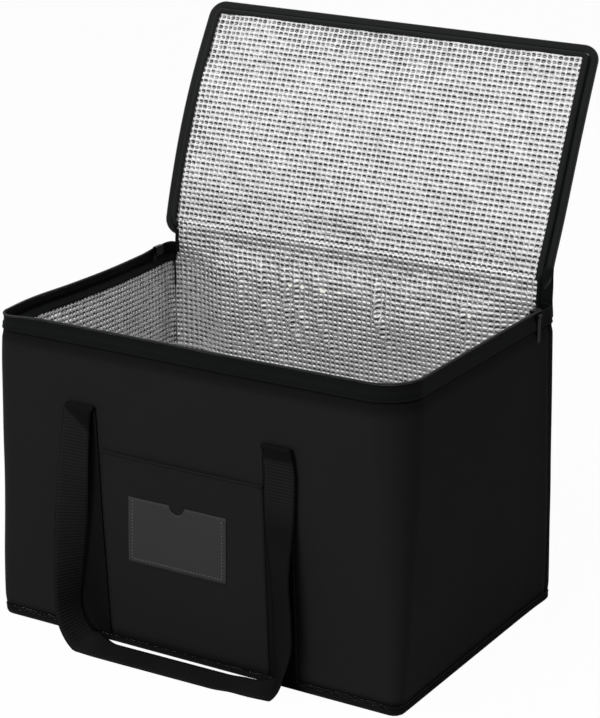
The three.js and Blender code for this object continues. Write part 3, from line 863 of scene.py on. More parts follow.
def coil(
    name: str, sweep: Sweep, middle: Pair, radius: float, whole: float, finish: Material
) -> Piece:
    """Makes one half of the zip's teeth: a coil whose turns show as fine ridges.

    Args:
        name: The piece's name.
        sweep: Lays a profile along the zip.
        middle: The coil's middle in that profile.
        radius: The coil's radius.
        whole: The zip's length.
        finish: The material.

    Returns:
        The object.
    """
    # A real coil has a turn each 1.5 mm. It is drawn at 2.4 mm, the finest that the render can show.
    profile = round_profile(middle, radius, 8)
    lay, heart = sweep(profile), sweep([middle] * 2)

    def place(u: float, v: float) -> Vector:
        """Places one point of the coil."""
        centre = heart(u, 0.0)
        ridge = 1 + 0.22 * math.cos(2 * math.pi * u * whole / COIL_PITCH)
        return centre + (lay(u, v) - centre) * ridge

    size = (whole, profile_length(profile))
    return Patch(name, size, (COIL_PITCH / 4, 0.001), place, tube=True).build(finish)


def base_sheet(form: BoxForm, name: str, height: float, finish: Material) -> Piece:
    """Makes a flat sheet that covers the inside of the base at a height, without thickness."""

    def place(u: float, v: float) -> Vector:
        """Places one point of the sheet."""
        return form.floor((u - 0.5) * INNER_BASE[0], (v - 0.5) * INNER_BASE[1], height)

    return Patch(name, INNER_BASE, (0.012, 0.012), place).build(finish)


@dataclass
class Stitches:
    """Rows of thread, each stitch a small stretched ball half sunk in the cloth."""

    name: str
    pitch: float = 0.0034
    length: float = 0.0023
    width: float = 0.0008
    form: Mesh = field(default_factory=bmesh.new)

    def row(self, points: Sequence[Vector]) -> None:
        """Sews along a line of points.

        Args:
            points: The line, close enough together to bend with the cloth.
        """
        left = self.pitch / 2
        for first, second in zip(points, points[1:]):
            step = second - first
            length = step.length
            if length < 1e-9:
                continue
            while left < length:
                turn = step.to_track_quat("X", "Z").to_matrix().to_4x4()
                scale = Matrix.Diagonal((self.length / 2, self.width / 2, self.width / 2, 1))
                middle = Matrix.Translation(first + step * (left / length))
                bmesh.ops.create_icosphere(self.form, subdivisions=1, radius=1, matrix=middle @ turn @ scale)
                left += self.pitch
            left -= length

    def build(self, finish: Material) -> Piece:
        """Makes the piece of all rows."""
        for face in self.form.faces:
            face.smooth = True
        return put(self.name, self.form, finish)


@dataclass
class OuterShell:
    """The black cloth of the walls and the base, with the piping in its seams."""

    form: BoxForm
    finishes: Finishes
    cloth: float = 0.0012
    bottom: float = 0.0116
    top: float = 0.3347
    cell: float = 0.0048
    turn_up: float = 0.008
    seam_gap: float = 0.0003

    def seam_runs(self) -> Pair:
        """The runs of the two upright seams, where the side walls meet the back panel."""
        edge = self.form.depth / 2 - self.form.corner
        return self.form.left_run(edge), self.form.right_run(edge)

    def panel(self, name: str, runs: Pair) -> Piece:
        """Makes a wall panel of cloth, drawn in at its seams.

        Args:
            name: The piece's name.
            runs: Where it starts and ends.

        Returns:
            The object.
        """
        start, end = runs

        def place(u: float, v: float) -> Vector:
            """Places one point of the panel."""
            run, z = mixed(start, end, u), mixed(self.bottom, self.top, v)
            near_end = min(run - start, end - run)
            inset = 0.0010 * math.exp(-((near_end / 0.0035) ** 2))
            inset += 0.0016 * ease(self.top - 0.011, self.top, z)
            inset += 0.0010 * ease(self.bottom + 0.009, self.bottom, z)
            return self.form.wall(run, inset, z)

        size = (end - start, self.top - self.bottom)
        piece = Patch(name, size, (self.cell, self.cell), place).build(self.finishes.shell)
        return thicken(piece, self.cloth)

    def base(self) -> Piece:
        """Makes the base panel: a tray of cloth with a turned-up edge.

        Returns:
            The object.
        """
        # The flat part of the ring ends inside the corners' radius, and one face closes the rest.
        edge = [(0.0002, self.turn_up), (0.0, 0.0045), (0.0004, 0.0022), (0.0016, 0.0007)]
        profile = edge + [(0.004, 0.0), (0.012, 0.0)]
        size = (self.form.round_run, profile_length(profile))
        lay = ring(self.form, profile)
        form = Patch("base_panel_cloth", size, (0.006, 0.0022), lay, wraps=True, flip=True).form()
        lowest = [e for e in form.edges if e.is_boundary and e.verts[0].co.z < 0.001]
        bmesh.ops.holes_fill(form, edges=lowest, sides=0)
        bmesh.ops.recalc_face_normals(form, faces=form.faces)
        form.normal_update()
        if sum(f.normal.z * f.calc_area() for f in form.faces) > 0:
            bmesh.ops.reverse_faces(form, faces=form.faces)
        return thicken(put("base_panel_cloth", form, self.finishes.shell), self.cloth)

    def piping(self, name: str, middle: Pair, radius: float) -> Piece:
        """Makes the welt in a seam: a cord wrapped in tape.

        Args:
            name: The piece's name.
            middle: Its inset and height.
            radius: In metres.

        Returns:
            The object.
        """
        profile = round_profile(middle, radius)
        place = ring(self.form, profile)
        size = (self.form.round_run, profile_length(profile))
        return Patch(name, size, (0.0045, 0.001), place, wraps=True, tube=True).build(self.finishes.tape)

    def build(self) -> None:
        """Builds the shell."""
        left, right = self.seam_runs()
        front = self.panel("front_and_side_cloth", (left + self.seam_gap / 2, right - self.seam_gap / 2))
        dress(front, BODY, "outer_fabric", "outer_wrap")
        start = right - self.form.round_run + self.seam_gap / 2
        back = self.panel("back_cloth", (start, left - self.seam_gap / 2))
        dress(back, BODY, "outer_fabric", "outer_back_panel")
        base = dress(self.base(), BODY, "outer_fabric", "outer_base_panel")
        dress(self.piping("base_welt", (0.0012, 0.0098), 0.0014), BODY, "trim_fabric", "base_piping")
        dress(self.piping("rim_welt", (0.0012, 0.3365), 0.0014), BODY, "trim_fabric", "rim_piping")


@dataclass
class Insulation:
    """The foam boards between cloth and foil, and the board in the base."""

    form: BoxForm
    finishes: Finishes
    start_inset: float = 0.0020
    thickness: float = 0.0045
    drawn_in: float = 0.0016
    bottom: float = 0.0055
    top: float = 0.3300
    gap: float = 0.012

    def wall_board(self, name: str, runs: Pair, node: str) -> None:
        """Makes one wall board.

        Args:
            name: The piece's name.
            runs: Where it starts and ends.
            node: The node that it stands for.
        """

        def place(u: float, v: float) -> Vector:
            """Places one point of the board, which the seams press in as they do the cloth."""
            z = mixed(self.bottom, self.top, v)
            inset = self.start_inset + self.drawn_in * ease(0.3237, 0.3347, z)
            inset += 0.001 * ease(0.0206, 0.0116, z)
            return self.form.wall(mixed(*runs, u), inset, z)

        size = (runs[1] - runs[0], self.top - self.bottom)
        board = Patch(name, size, (0.010, 0.010), place).build(self.finishes.foam)
        dress(thicken(board, self.thickness), BODY, "foam", node)

    def build(self) -> None:
        """Builds the boards."""
        middles = self.form.corner_runs()
        whole = self.form.round_run
        gap = self.gap
        middles.insert(0, middles[3] - whole)
        for side, start, end in zip(("back", "left", "front", "right"), middles, middles[1:]):
            self.wall_board(f"foam_{side}_board", (start + gap, end - gap), f"foam_{side}")
        base = base_sheet(self.form, "foam_base_board", 0.0093, self.finishes.foam)
        dress(thicken(base, self.thickness), BODY, "foam", "foam_base")


@dataclass
class LidForm:
    """The lid's soft curve: steep at the hinge, lying further back towards its free edge."""

    hinge: Vector = field(default_factory=lambda: Vector((0.0, 0.157126, 0.3625)))
    reach: float = 0.304
    length: float = 0.2885
    first_lean: float = 11.5
    added_lean: float = 18.5
    fall: float = 1.6
    steps: int = 80
    half_width: float = 0.254
    corner: float = 0.020
    foot: float = 0.004
    ease_back: float = 0.0025
    twist: float = 0.0055
    skew: float = 0.0035
    right_turn: float = 45.0
    mean_lean: float = 23.5
    kept: float = 0.4
    line: list[tuple[float, float, float]] = field(init=False)

    def __post_init__(self) -> None:
        """Walks along the curve once and keeps its points and leans."""
        y, z = self.hinge.y, self.hinge.z
        self.line = []
        for k in range(self.steps + 1):
            t = k / self.steps
            lean = math.radians(self.first_lean + self.added_lean * (1 - (1 - t) ** self.fall))
            self.line.append((y, z, lean))
            y += math.sin(lean) * self.length / self.steps
            z += math.cos(lean) * self.length / self.steps

    def point(self, x: float, up: float, out: float) -> Vector:
        """Finds a point of the lid.

        Args:
            x: Across the lid.
            up: From the hinge along the lid, in the flat lid's own length.
            out: Off the middle of its thickness, towards the foil.

        Returns:
            The point, with the lid open as in the photograph.
        """
        t = up / self.reach * self.steps
        k = min(self.steps - 1, max(0, math.floor(t)))
        share = t - k
        (y0, z0, lean0), (y1, z1, lean1) = self.line[k], self.line[k + 1]
        lean = mixed(lean0, lean1, min(1.0, max(0.0, share)))
        y = mixed(y0, y1, share) - math.cos(lean) * out
        z = mixed(z0, z1, share) + math.sin(lean) * out
        wave = 0.0016 * noise.noise(Vector((x * 7, up * 8, 4.4))) * ease(0.0, 0.06, up)
        low = 1 - ease(0.0, 0.10, up)
        belly = math.sin(math.pi * min(1.0, max(0.0, t / self.steps)))
        y += 0.002 * low - wave + (self.ease_back + self.twist * x / self.half_width) * belly
        z -= self.skew * x / self.half_width * t / self.steps
        return Vector((x - 0.003 * low, y, z))

    def lining_out(self, up: float) -> float:
        """How far the foil lies off the middle: little at the hinge, half the foam's thickness above."""
        return mixed(-0.0008, 0.0041, ease(0.0, 0.06, up))

    def flatten(self, piece: Piece) -> None:
        """Gives a finished soft piece of the lid a mesh of its own."""
        anchor = self.point(0.0, 0.020, 0.0)
        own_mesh(piece)

    def edge_length(self) -> float:
        """The way round the lid's three free sides and its corners, the last of which is cut short."""
        straight = self.reach - self.foot - 2 * self.corner
        turns = math.radians(270 + self.right_turn)
        return turns * self.corner + 2 * straight + 2 * (self.half_width - self.corner)

    def edge(self, run: float, inset: float) -> Pair:
        """Finds a point near the lid's edge.

        Args:
            run: The distance along the edge from the hinge's left end, up and over to its right end.
            inset: The distance inwards from the edge.

        Returns:
            Its x and up.
        """
        arc = math.pi * self.corner / 2
        straight = self.reach - self.foot - 2 * self.corner
        across = 2 * (self.half_width - self.corner)
        inner = self.half_width - self.corner
        low, high = self.foot + self.corner, self.reach - self.corner
        pieces = [
            (arc, (-inner, low), 270.0, -90.0),
            (straight, (-inner, low), 180.0, 0.0),
            (arc, (-inner, high), 180.0, -90.0),
            (across, (-inner, high), 90.0, 0.0),
            (arc, (inner, high), 90.0, -90.0),
            (straight, (inner, high), 0.0, 0.0),
            (arc * self.right_turn / 90, (inner, low), 0.0, -self.right_turn),
        ]
        radius = self.corner - inset
        for index, (length, (cx, cy), start, turn) in enumerate(pieces):
            if run <= length or index == len(pieces) - 1:
                share = min(1.0, max(0.0, run / length))
                angle = math.radians(start + turn * share)
                x, up = cx + radius * math.cos(angle), cy + radius * math.sin(angle)
                if not turn:
                    x -= math.sin(angle) * -length * share
                    up -= math.cos(angle) * length * share
                return x, up
            run -= length
        return inner, low


def lid_sweep(form: LidForm, profile: Sequence[Pair]) -> Place:
    """Lays a profile of insets and heights off the lid along its edge.

    Args:
        form: The lid.
        profile: The corners of the profile, as inset and distance towards the foil.

    Returns:
        A function that places a share of the edge and a share of the profile.
    """
    whole = form.edge_length()

    def place(u: float, v: float) -> Vector:
        """Places one point of the sweep."""
        inset, out = along(profile, v)
        x, up = form.edge(u * whole, inset)
        return form.point(x, up, out)

    return place


@dataclass
class FoilLining:
    """The pressed foil inside: four walls and the base, and one long sheet up the back and over the lid."""

    box: BoxForm
    lid: LidForm
    finishes: Finishes
    inset: float = 0.0082
    thickness: float = 0.0007
    bottom: float = 0.0112
    top: float = 0.3342
    gap: float = 0.0004
    fold_start: float = 0.324
    fold_length: float = 0.0385
    lid_width: float = 0.2412
    left_neck: float = 0.2352
    right_neck: float = 0.2410
    left_seam: float = 0.0030
    lid_top: float = 0.2912
    creases: tuple[tuple[float, float, float], ...] = (
        (-0.151, 0.0030, 0.09),
        (-0.120, 0.0034, 0.10),
        (-0.088, 0.0056, 0.07),
        (-0.072, 0.0036, 0.06),
        (-0.044, 0.0040, 0.08),
        (0.037, 0.0066, 0.05),
        (0.150, 0.0034, 0.06),
    )

    def wall_sheet(self, name: str, runs: Pair, node: str) -> None:
        """Makes the lining of one wall, facing inwards.

        Args:
            name: The piece's name.
            runs: Where it starts and ends.
            node: The node that it stands for.
        """
        line = [(self.inset, self.bottom), (self.inset, self.top)]
        start, end = runs
        flat = (end - start, self.top - self.bottom)
        place = ring(self.box, line, (end, start))
        sheet = Patch(name, flat, (0.0055, 0.0055), place).build(self.finishes.foil)
        dress(thicken(sheet, self.thickness), BODY, "foil", node)

    def half_width(self, side: float, s: float) -> float:
        """How far the long sheet reaches to one side at a distance from the bottom.

        Args:
            side: Below zero for the left side, above it for the right one.
            s: The distance from the bottom.

        Returns:
            The distance from the middle.
        """
        neck = self.left_neck if side < 0 else self.right_neck
        hinge = self.fold_start - self.bottom + self.fold_length
        wall = self.box.corner_runs()[0] - self.gap - (self.left_seam if side < 0 else 0.0)
        if s < hinge:
            return mixed(wall, neck, ease(hinge - 0.034, hinge - 0.012, s))
        up = s - hinge
        width = mixed(neck, self.lid_width, ease(0.004, 0.022, up))
        corner = 0.008
        down = self.lid_top * self.lid.length / self.lid.reach - up
        if down < corner:
            width -= corner - math.sqrt(max(0.0, corner**2 - (corner - down) ** 2))
        return width

    def crease(self, x: float, z: float) -> float:
        """How far the creases and buckles of the back stand in.

        Args:
            x: Across the wall.
            z: The height.

        Returns:
            The distance, kept clear of the foam behind.
        """
        depth = 0.0
        for middle, height, reach in self.creases:
            bend = middle + 0.25 * (self.top - z) ** 2 / reach
            sharp = hump(bend, 0.0036, x) - 0.3 * hump(bend + 0.0085, 0.0040, x)
            depth += height * sharp * ease(self.top - reach - 0.03, self.top - reach + 0.02, z)
        depth += 0.0035 * hump(0.075, 0.040, x) * hump(0.306, 0.020, z)
        depth += 0.0008 * noise.noise(Vector((x * 30, 5.5, z * 26))) * ease(0.02, 0.06, z)
        depth += 0.0004 * noise.noise(Vector((x * 75, 1.5, z * 70)))
        return max(-0.0006, depth + 0.0004)

    def surface(self, across: float, s: float, off: float = 0.0) -> Vector:
        """Finds a point of the long sheet that lines the back wall and the lid.

        Args:
            across: The distance from the middle, to the right.
            s: The distance from the bottom.
            off: The distance off the sheet, towards the inside.

        Returns:
            The point.
        """
        wall_part = self.fold_start - self.bottom
        hinge = wall_part + self.fold_length
        run = self.box.back_run(across)
        if s <= wall_part:
            z = self.bottom + s
            return self.box.wall(run, self.inset + off + self.crease(across, z), z)
        if s < hinge:
            share = (s - wall_part) / self.fold_length
            inset = self.inset + off + self.crease(across, self.fold_start)
            first = self.box.wall(run, inset, self.fold_start)
            last = self.lid.point(across, 0.0, off + self.lid.lining_out(0.0))
            rise = Vector((0, 0.0, 1.0)) * self.fold_length
            lead = Vector((0, 0.20, 0.98)) * self.fold_length
            a, b = share * share * (3 - 2 * share), share * (1 - share)
            return first.lerp(last, a) + rise * (b * (1 - share)) - lead * (b * share)
        up = (s - hinge) * self.lid.reach / self.lid.length
        buckle = 0.0016 * noise.noise(Vector((across * 24, up * 20, 8.8)))
        buckle += 0.0008 * noise.noise(Vector((across * 70, up * 60, 2.2)))
        buckle = max(-0.0010, buckle) * ease(0.0, 0.04, up) + 0.0028 * hump(0.020, 0.011, up)
        return self.lid.point(across, up, off + self.lid.lining_out(up) + buckle)

    def length_of_foil(self, name: str, low: float, high: float) -> Piece:
        """Makes a length of the sheet up the back and over the lid.

        Args:
            name: The piece's name.
            low: Where it starts, from the bottom.
            high: Where it ends.

        Returns:
            The object.
        """

        def place(u: float, v: float) -> Vector:
            """Places one point."""
            s = mixed(low, high, v)
            return self.surface((2 * u - 1) * self.half_width(u - 0.5, s), s)

        def measure(u: float, v: float) -> Pair:
            """Measures the sheet in its own metres."""
            s = mixed(low, high, v)
            return (2 * u - 1) * self.half_width(u - 0.5, s), s

        size = (2 * self.box.corner_runs()[0], high - low)
        patch = Patch(name, size, (0.0020, 0.0042), place, measure=measure)
        return thicken(patch.build(self.finishes.foil), self.thickness)

    def long_sheet(self) -> None:
        """Makes the long sheet in two lengths: one runs up the back and round the hinge, the other rides the
        lid.
        """
        hinge = self.fold_start - self.bottom + self.fold_length
        length = hinge + self.lid_top * self.lid.length / self.lid.reach
        cut = hinge + 0.022
        back = self.length_of_foil("back_and_hinge_foil", 0.0, cut)
        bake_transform(back)
        finish_piece(back, "foil", "lining_back")
        2 * self.box.corner_runs()[0]
        top = dress(settle(self.length_of_foil("lid_foil", cut, length)), LID, "foil", "lid_lining")
        self.lid.flatten(top)

    def build(self) -> None:
        """Builds the lining."""
        middles = self.box.corner_runs()
        gap = self.gap
        seams = (self.left_seam, 0.0, 0.0)
        for side, start, end, seam in zip(("left", "front", "right"), middles, middles[1:], seams):
            runs = (start + gap - seam, end - gap)
            self.wall_sheet(f"{side}_foil", runs, f"lining_{side}")
        base = base_sheet(self.box, "base_foil", 0.0106, self.finishes.foil)
        dress(thicken(base, self.thickness), BODY, "foil", "lining_base")
        self.long_sheet()


@dataclass
class Rim:
    """The zip's lower half on the rim: tape, coil, the strip that closes the foam, and the end tabs."""

    form: BoxForm
    finishes: Finishes
    tape: float = 0.0012
    bottom: float = 0.3355
    top: float = 0.3531
    fold: float = 0.3452
    coil_inset: float = 0.0021
    coil_height: float = 0.3547
    coil_radius: float = 0.0013
    short_of_corner: float = 0.012
    past_corner: float = 0.006
    tab_overlap: float = 0.0015
    tab_end: float = 0.2335
    tab_height: float = 0.020
    tab_thickness: float = 0.0014
    facing_thickness: float = 0.0008
    hinge_line: Vector = field(default_factory=lambda: Vector((0.0, 0.157126, 0.3625)))

    def runs(self) -> Pair:
        """Where the zip starts and ends, just before the back corners."""
        edge = self.form.depth / 2 - self.form.corner - self.short_of_corner
        return self.form.left_run(edge), self.form.right_run(edge)

    def build(self) -> None:
        """Builds the rim."""
        start, end = self.runs()
        whole = end - start
        # A folded strip covers the lower half of the tape, and its edge catches the light.
        line = [
            (0.0006, self.bottom),
            (0.0004, self.fold - 0.0022),
            (0.0007, self.fold - 0.0006),
            (0.0016, self.fold),
            (0.0018, self.fold + 0.001),
            (0.0016, self.top),
        ]
        size = (whole, profile_length(line))
        lay = ring(self.form, line, (start, end))
        tape = Patch("rim_zip_tape", size, (0.0045, 0.0016), lay).build(self.finishes.tape)
        dress(thicken(tape, self.tape), BODY, "trim_fabric", "body_zip_tape")
        middle = (self.coil_inset, self.coil_height)
        teeth = coil(
            "rim_zip_coil",
            lambda profile: ring(self.form, profile, (start, end)),
            middle,
            self.coil_radius,
            whole,
            self.finishes.nylon,
        )
        dress(teeth, BODY, "zip_coil", "body_zip_coil")
        line = [(0.0032, 0.3400), (0.0040, 0.3376), (0.0066, 0.3358), (0.0088, 0.3344), (0.0096, 0.3322)]
        size = (whole, profile_length(line))
        middles = self.form.corner_runs()
        corners = (middles[0] - self.past_corner, middles[3] + self.past_corner)
        lay = ring(self.form, line, corners)
        facing = Patch("rim_top_strip", size, (0.0055, 0.0016), lay).build(self.finishes.tape)
        dress(thicken(facing, self.facing_thickness, 0.0), BODY, "trim_fabric", "rim_facing")
        left, right = start + self.tab_overlap, end - self.tab_overlap
        self.end_tab("left_zip_end_tab", left, self.form.back_run(-self.tab_end), "zip_end_tab_left")
        self.end_tab("right_zip_end_tab", right, self.form.round_run - self.tab_end, "zip_end_tab_right")

    def end_tab(self, name: str, zip_end: float, hinge_end: float, node: str) -> None:
        """Makes the tab that covers the end of the zip, round a back corner to the hinge.

        Args:
            name: The piece's name.
            zip_end: The run where it meets the zip.
            hinge_end: The run where it meets the hinge.
            node: The node that it stands for.
        """
        hinge = self.hinge_line

        def place(u: float, v: float) -> Vector:
            """Places one point of the tab, whose upper edge is drawn in to the hinge."""
            share = u if zip_end < hinge_end else 1 - u
            run = mixed(zip_end, hinge_end, share)
            z = mixed(0.3352, mixed(0.3540, 0.3575, ease(0.2, 1.0, share)), v)
            point = self.form.wall(run, mixed(0.0002, 0.0012, v), z)
            pull = ease(0.35, 1.0, share) * v**1.5
            point.y = mixed(point.y, hinge.y + 0.001, pull)
            return point

        whole = abs(hinge_end - zip_end)
        tab = Patch(name, (whole, self.tab_height), (0.002, 0.002), place, flip=zip_end > hinge_end)
        dress(thicken(tab.build(self.finishes.tape), self.tab_thickness), BODY, "trim_fabric", node)


@dataclass
class Lid:
    """The lid: cloth, foam and foil held in a binding, with the zip's upper half on its edge."""

    box: BoxForm
    form: LidForm
    finishes: Finishes
    half_width: float = 0.2412
    corner: float = 0.0072
    low: float = 0.0168
    high: float = 0.2912
    cloth: float = 0.0011
    tape: float = 0.0012
    cloth_out: float = -0.0041
    foam_gap: float = 0.0021
    foam_low: float = 0.0430
    foam: float = 0.0042
    binding_from: float = 0.0098
    binding_to: float = 0.0172
    cheek: float = 0.0056
    slot: float = 0.0046
    coil_radius: float = 0.0013

    def layer(self, name: str, low: float, cell: float, finish: Material, foam: bool) -> Piece:
        """Makes a sheet of the lid's shape.

        Args:
            name: The piece's name.
            low: Where it starts, from the hinge.
            cell: The grid's size.
            finish: Its material.
            foam: Whether it is the foam, which lies against the foil, or the cloth at the back.

        Returns:
            The object, without thickness.
        """

        def place(u: float, v: float) -> Vector:
            """Places one point of the layer."""
            up = mixed(low, self.high, v)
            short = min(up - low, self.high - up)
            width = self.half_width
            if short < self.corner:
                width -= self.corner - math.sqrt(max(0.0, self.corner**2 - (self.corner - short) ** 2))
            out = self.form.lining_out(up) - self.foam_gap if foam else self.cloth_out
            return self.form.point((2 * u - 1) * width, up, out)

        size = (2 * self.half_width, (self.high - low) * self.form.length / self.form.reach)
        return Patch(name, size, (cell, cell), place, flip=not foam).build(finish)

    def binding(self) -> None:
        """Makes the binding, a strip folded round the layers' edge."""
        a, b, c, s = self.binding_from, self.binding_to, self.cheek, self.slot
        profile = [
            (b, c - 0.0002),
            (b - 0.0012, c + 0.0002),
            (a + 0.0024, c),
            (a + 0.0006, c - 0.0014),
            (a, 0.0016),
            (a, -0.0016),
            (a + 0.0006, -c + 0.0014),
            (a + 0.0024, -c),
            (b - 0.0012, -c - 0.0002),
            (b, -c + 0.0002),
            (b, -s),
            (a + 0.0016, -s),
            (a + 0.0016, s),
            (b, s),
            (b, c - 0.0002),
        ]
        size = (self.form.edge_length(), profile_length(profile))
        lay = lid_sweep(self.form, profile)
        strip = Patch("lid_edge_binding", size, (0.0042, 0.0011), lay, tube=True).build(self.finishes.trim)
        dress(strip, LID, "trim_fabric", "lid_binding")
        self.form.flatten(strip)

    def zip_half(self) -> None:
        """Makes the tape and the coil on the lid's edge."""
        line = [(0.0022, 0.0006), (self.binding_from - 0.0003, 0.0006)]
        size = (self.form.edge_length(), profile_length(line))
        lay = lid_sweep(self.form, line)
        tape = Patch("lid_zip_half_tape", size, (0.0045, 0.0018), lay).build(self.finishes.trim)
        self.form.flatten(dress(settle(thicken(tape, self.tape, 0.0)), LID, "trim_fabric", "lid_zip_tape"))
        radius = self.coil_radius
        teeth = coil(
            "lid_zip_half_coil",
            lambda profile: lid_sweep(self.form, profile),
            (radius, 0.0),
            radius,
            self.form.edge_length(),
            self.finishes.nylon,
        )
        self.form.flatten(dress(teeth, LID, "zip_coil", "lid_zip_coil"))

    def hinge(self) -> None:
        """Makes the black fold of cloth that the lid hangs on, outside the foil."""
        half = 0.2390
        welt = 0.337
        length = 0.046

        def place(u: float, v: float) -> Vector:
            """Places one point of the fold."""
            x = (1 - 2 * u) * half
            first = self.box.wall(self.box.back_run(x), 0.0026, welt)
            last = self.form.point(x, 0.0172, -0.0030)
            middle = self.form.point(x, 0.0, -0.0026)
            share = v * 2
            if share <= 1:
                return first.lerp(middle, share) + Vector((0, 0.0012 * math.sin(math.pi * share), 0))
            return middle.lerp(last, share - 1)

        size = (2 * half, length)
        fold = Patch("hinge_fold_cloth", size, (0.0055, 0.003), place).build(self.finishes.trim)
        thicken(fold, self.cloth)
        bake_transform(fold)
        finish_piece(fold, "trim_fabric", "back_hinge_strip", "lid_hinge_strip")

    def sew(self) -> None:
        """Sews the binding on both sides of the lid."""
        seams = Stitches("lid_binding_stitches")
        count = 260
        for out in (self.cheek + 0.0001, -self.cheek - 0.0001):
            line = lid_sweep(self.form, [(self.binding_to - 0.0024, out)] * 2)
            seams.row([line(k / count, 0.0) for k in range(count + 1)])
        self.form.flatten(dress(seams.build(self.finishes.thread), LID, "trim_fabric"))

    def build(self) -> None:
        """Builds the lid."""
        cloth = self.layer("lid_outer_cloth", self.low, 0.0055, self.finishes.shell, foam=False)
        dress(settle(thicken(cloth, self.cloth)), LID, "outer_fabric", "lid_outer_panel")
        self.form.flatten(cloth)
        foam = self.layer("lid_foam_board", self.foam_low, 0.010, self.finishes.foam, foam=True)
        dress(settle(thicken(foam, self.foam)), LID, "foam", "lid_foam")
        self.form.flatten(foam)
        self.binding()
        self.zip_half()
        self.hinge()
        self.sew()


@dataclass
class HingeEnds:
    """The cloth at the two ends of the hinge, where the lid's edge runs down into the rim.

    In the photograph the right one stands out as a black band, and the left one is tucked in behind the foil.
    """

    box: BoxForm
    lid: LidForm
    foil: FoilLining
    finishes: Finishes
    overlap: float = 0.0014
    width: float = 0.0040
    cloth: float = 0.0010
    off_foil: float = 0.0019
    upper: float = 0.02375
    low: float = 0.300

    def strip(self, name: str, side: float) -> None:
        """Makes the narrow binding along the foil's edge, from the rim to the lid.

        Args:
            name: The piece's name.
            side: -1 for the left end and 1 for the right one.
        """
        start = self.low - self.foil.bottom
        end = self.foil.fold_start - self.foil.bottom + self.foil.fold_length + self.upper

        def place(u: float, v: float) -> Vector:
            """Places one point of the strip."""
            s = mixed(start, end, v)
            across = self.foil.half_width(side, s) - self.overlap + u * self.width
            return self.foil.surface(side * across, s, self.off_foil)

        patch = Patch(name, (self.width, end - start), (0.001, 0.002), place, flip=side < 0)
        strip = thicken(patch.build(self.finishes.tape), self.cloth)
        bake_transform(strip)
        finish_piece(strip, "trim_fabric")

    def gusset(self) -> None:
        """Makes the piece of cloth that closes the right end of the hinge."""
        low = self.foil.fold_start + 0.010 - self.foil.bottom
        high = self.foil.fold_start + self.foil.fold_length + 0.034 - self.foil.bottom
        low_out = self.box.wall(self.box.corner_runs()[3] - 0.001, -0.0008, 0.3400)
        high_out = self.lid.point(0.2552, 0.036, 0.0030)

        def place(u: float, v: float) -> Vector:
            """Places one point of the gusset, with two soft folds across it."""
            s = mixed(low, high, v)
            inner = self.foil.surface(self.foil.half_width(1, s) + 0.0004, s, 0.0003)
            point = inner.lerp(low_out.lerp(high_out, v), u)
            fold = math.sin(math.pi * v) * (0.0005 * math.sin(9 * v + 2 * u) - 0.0008)
            return point + Vector((0.3 * fold, fold, 0)) * ease(0.0, 0.3, u)

        patch = Patch("right_hinge_gusset", (0.018, 0.045), (0.0015, 0.0020), place)
        gusset = thicken(patch.build(self.finishes.tape), self.cloth, 0.0)
        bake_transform(gusset)
        finish_piece(gusset, "trim_fabric")

    def build(self) -> None:
        """Builds both ends."""
        self.strip("left_hinge_edge_binding", -1.0)
        self.strip("right_hinge_edge_binding", 1.0)
        self.gusset()


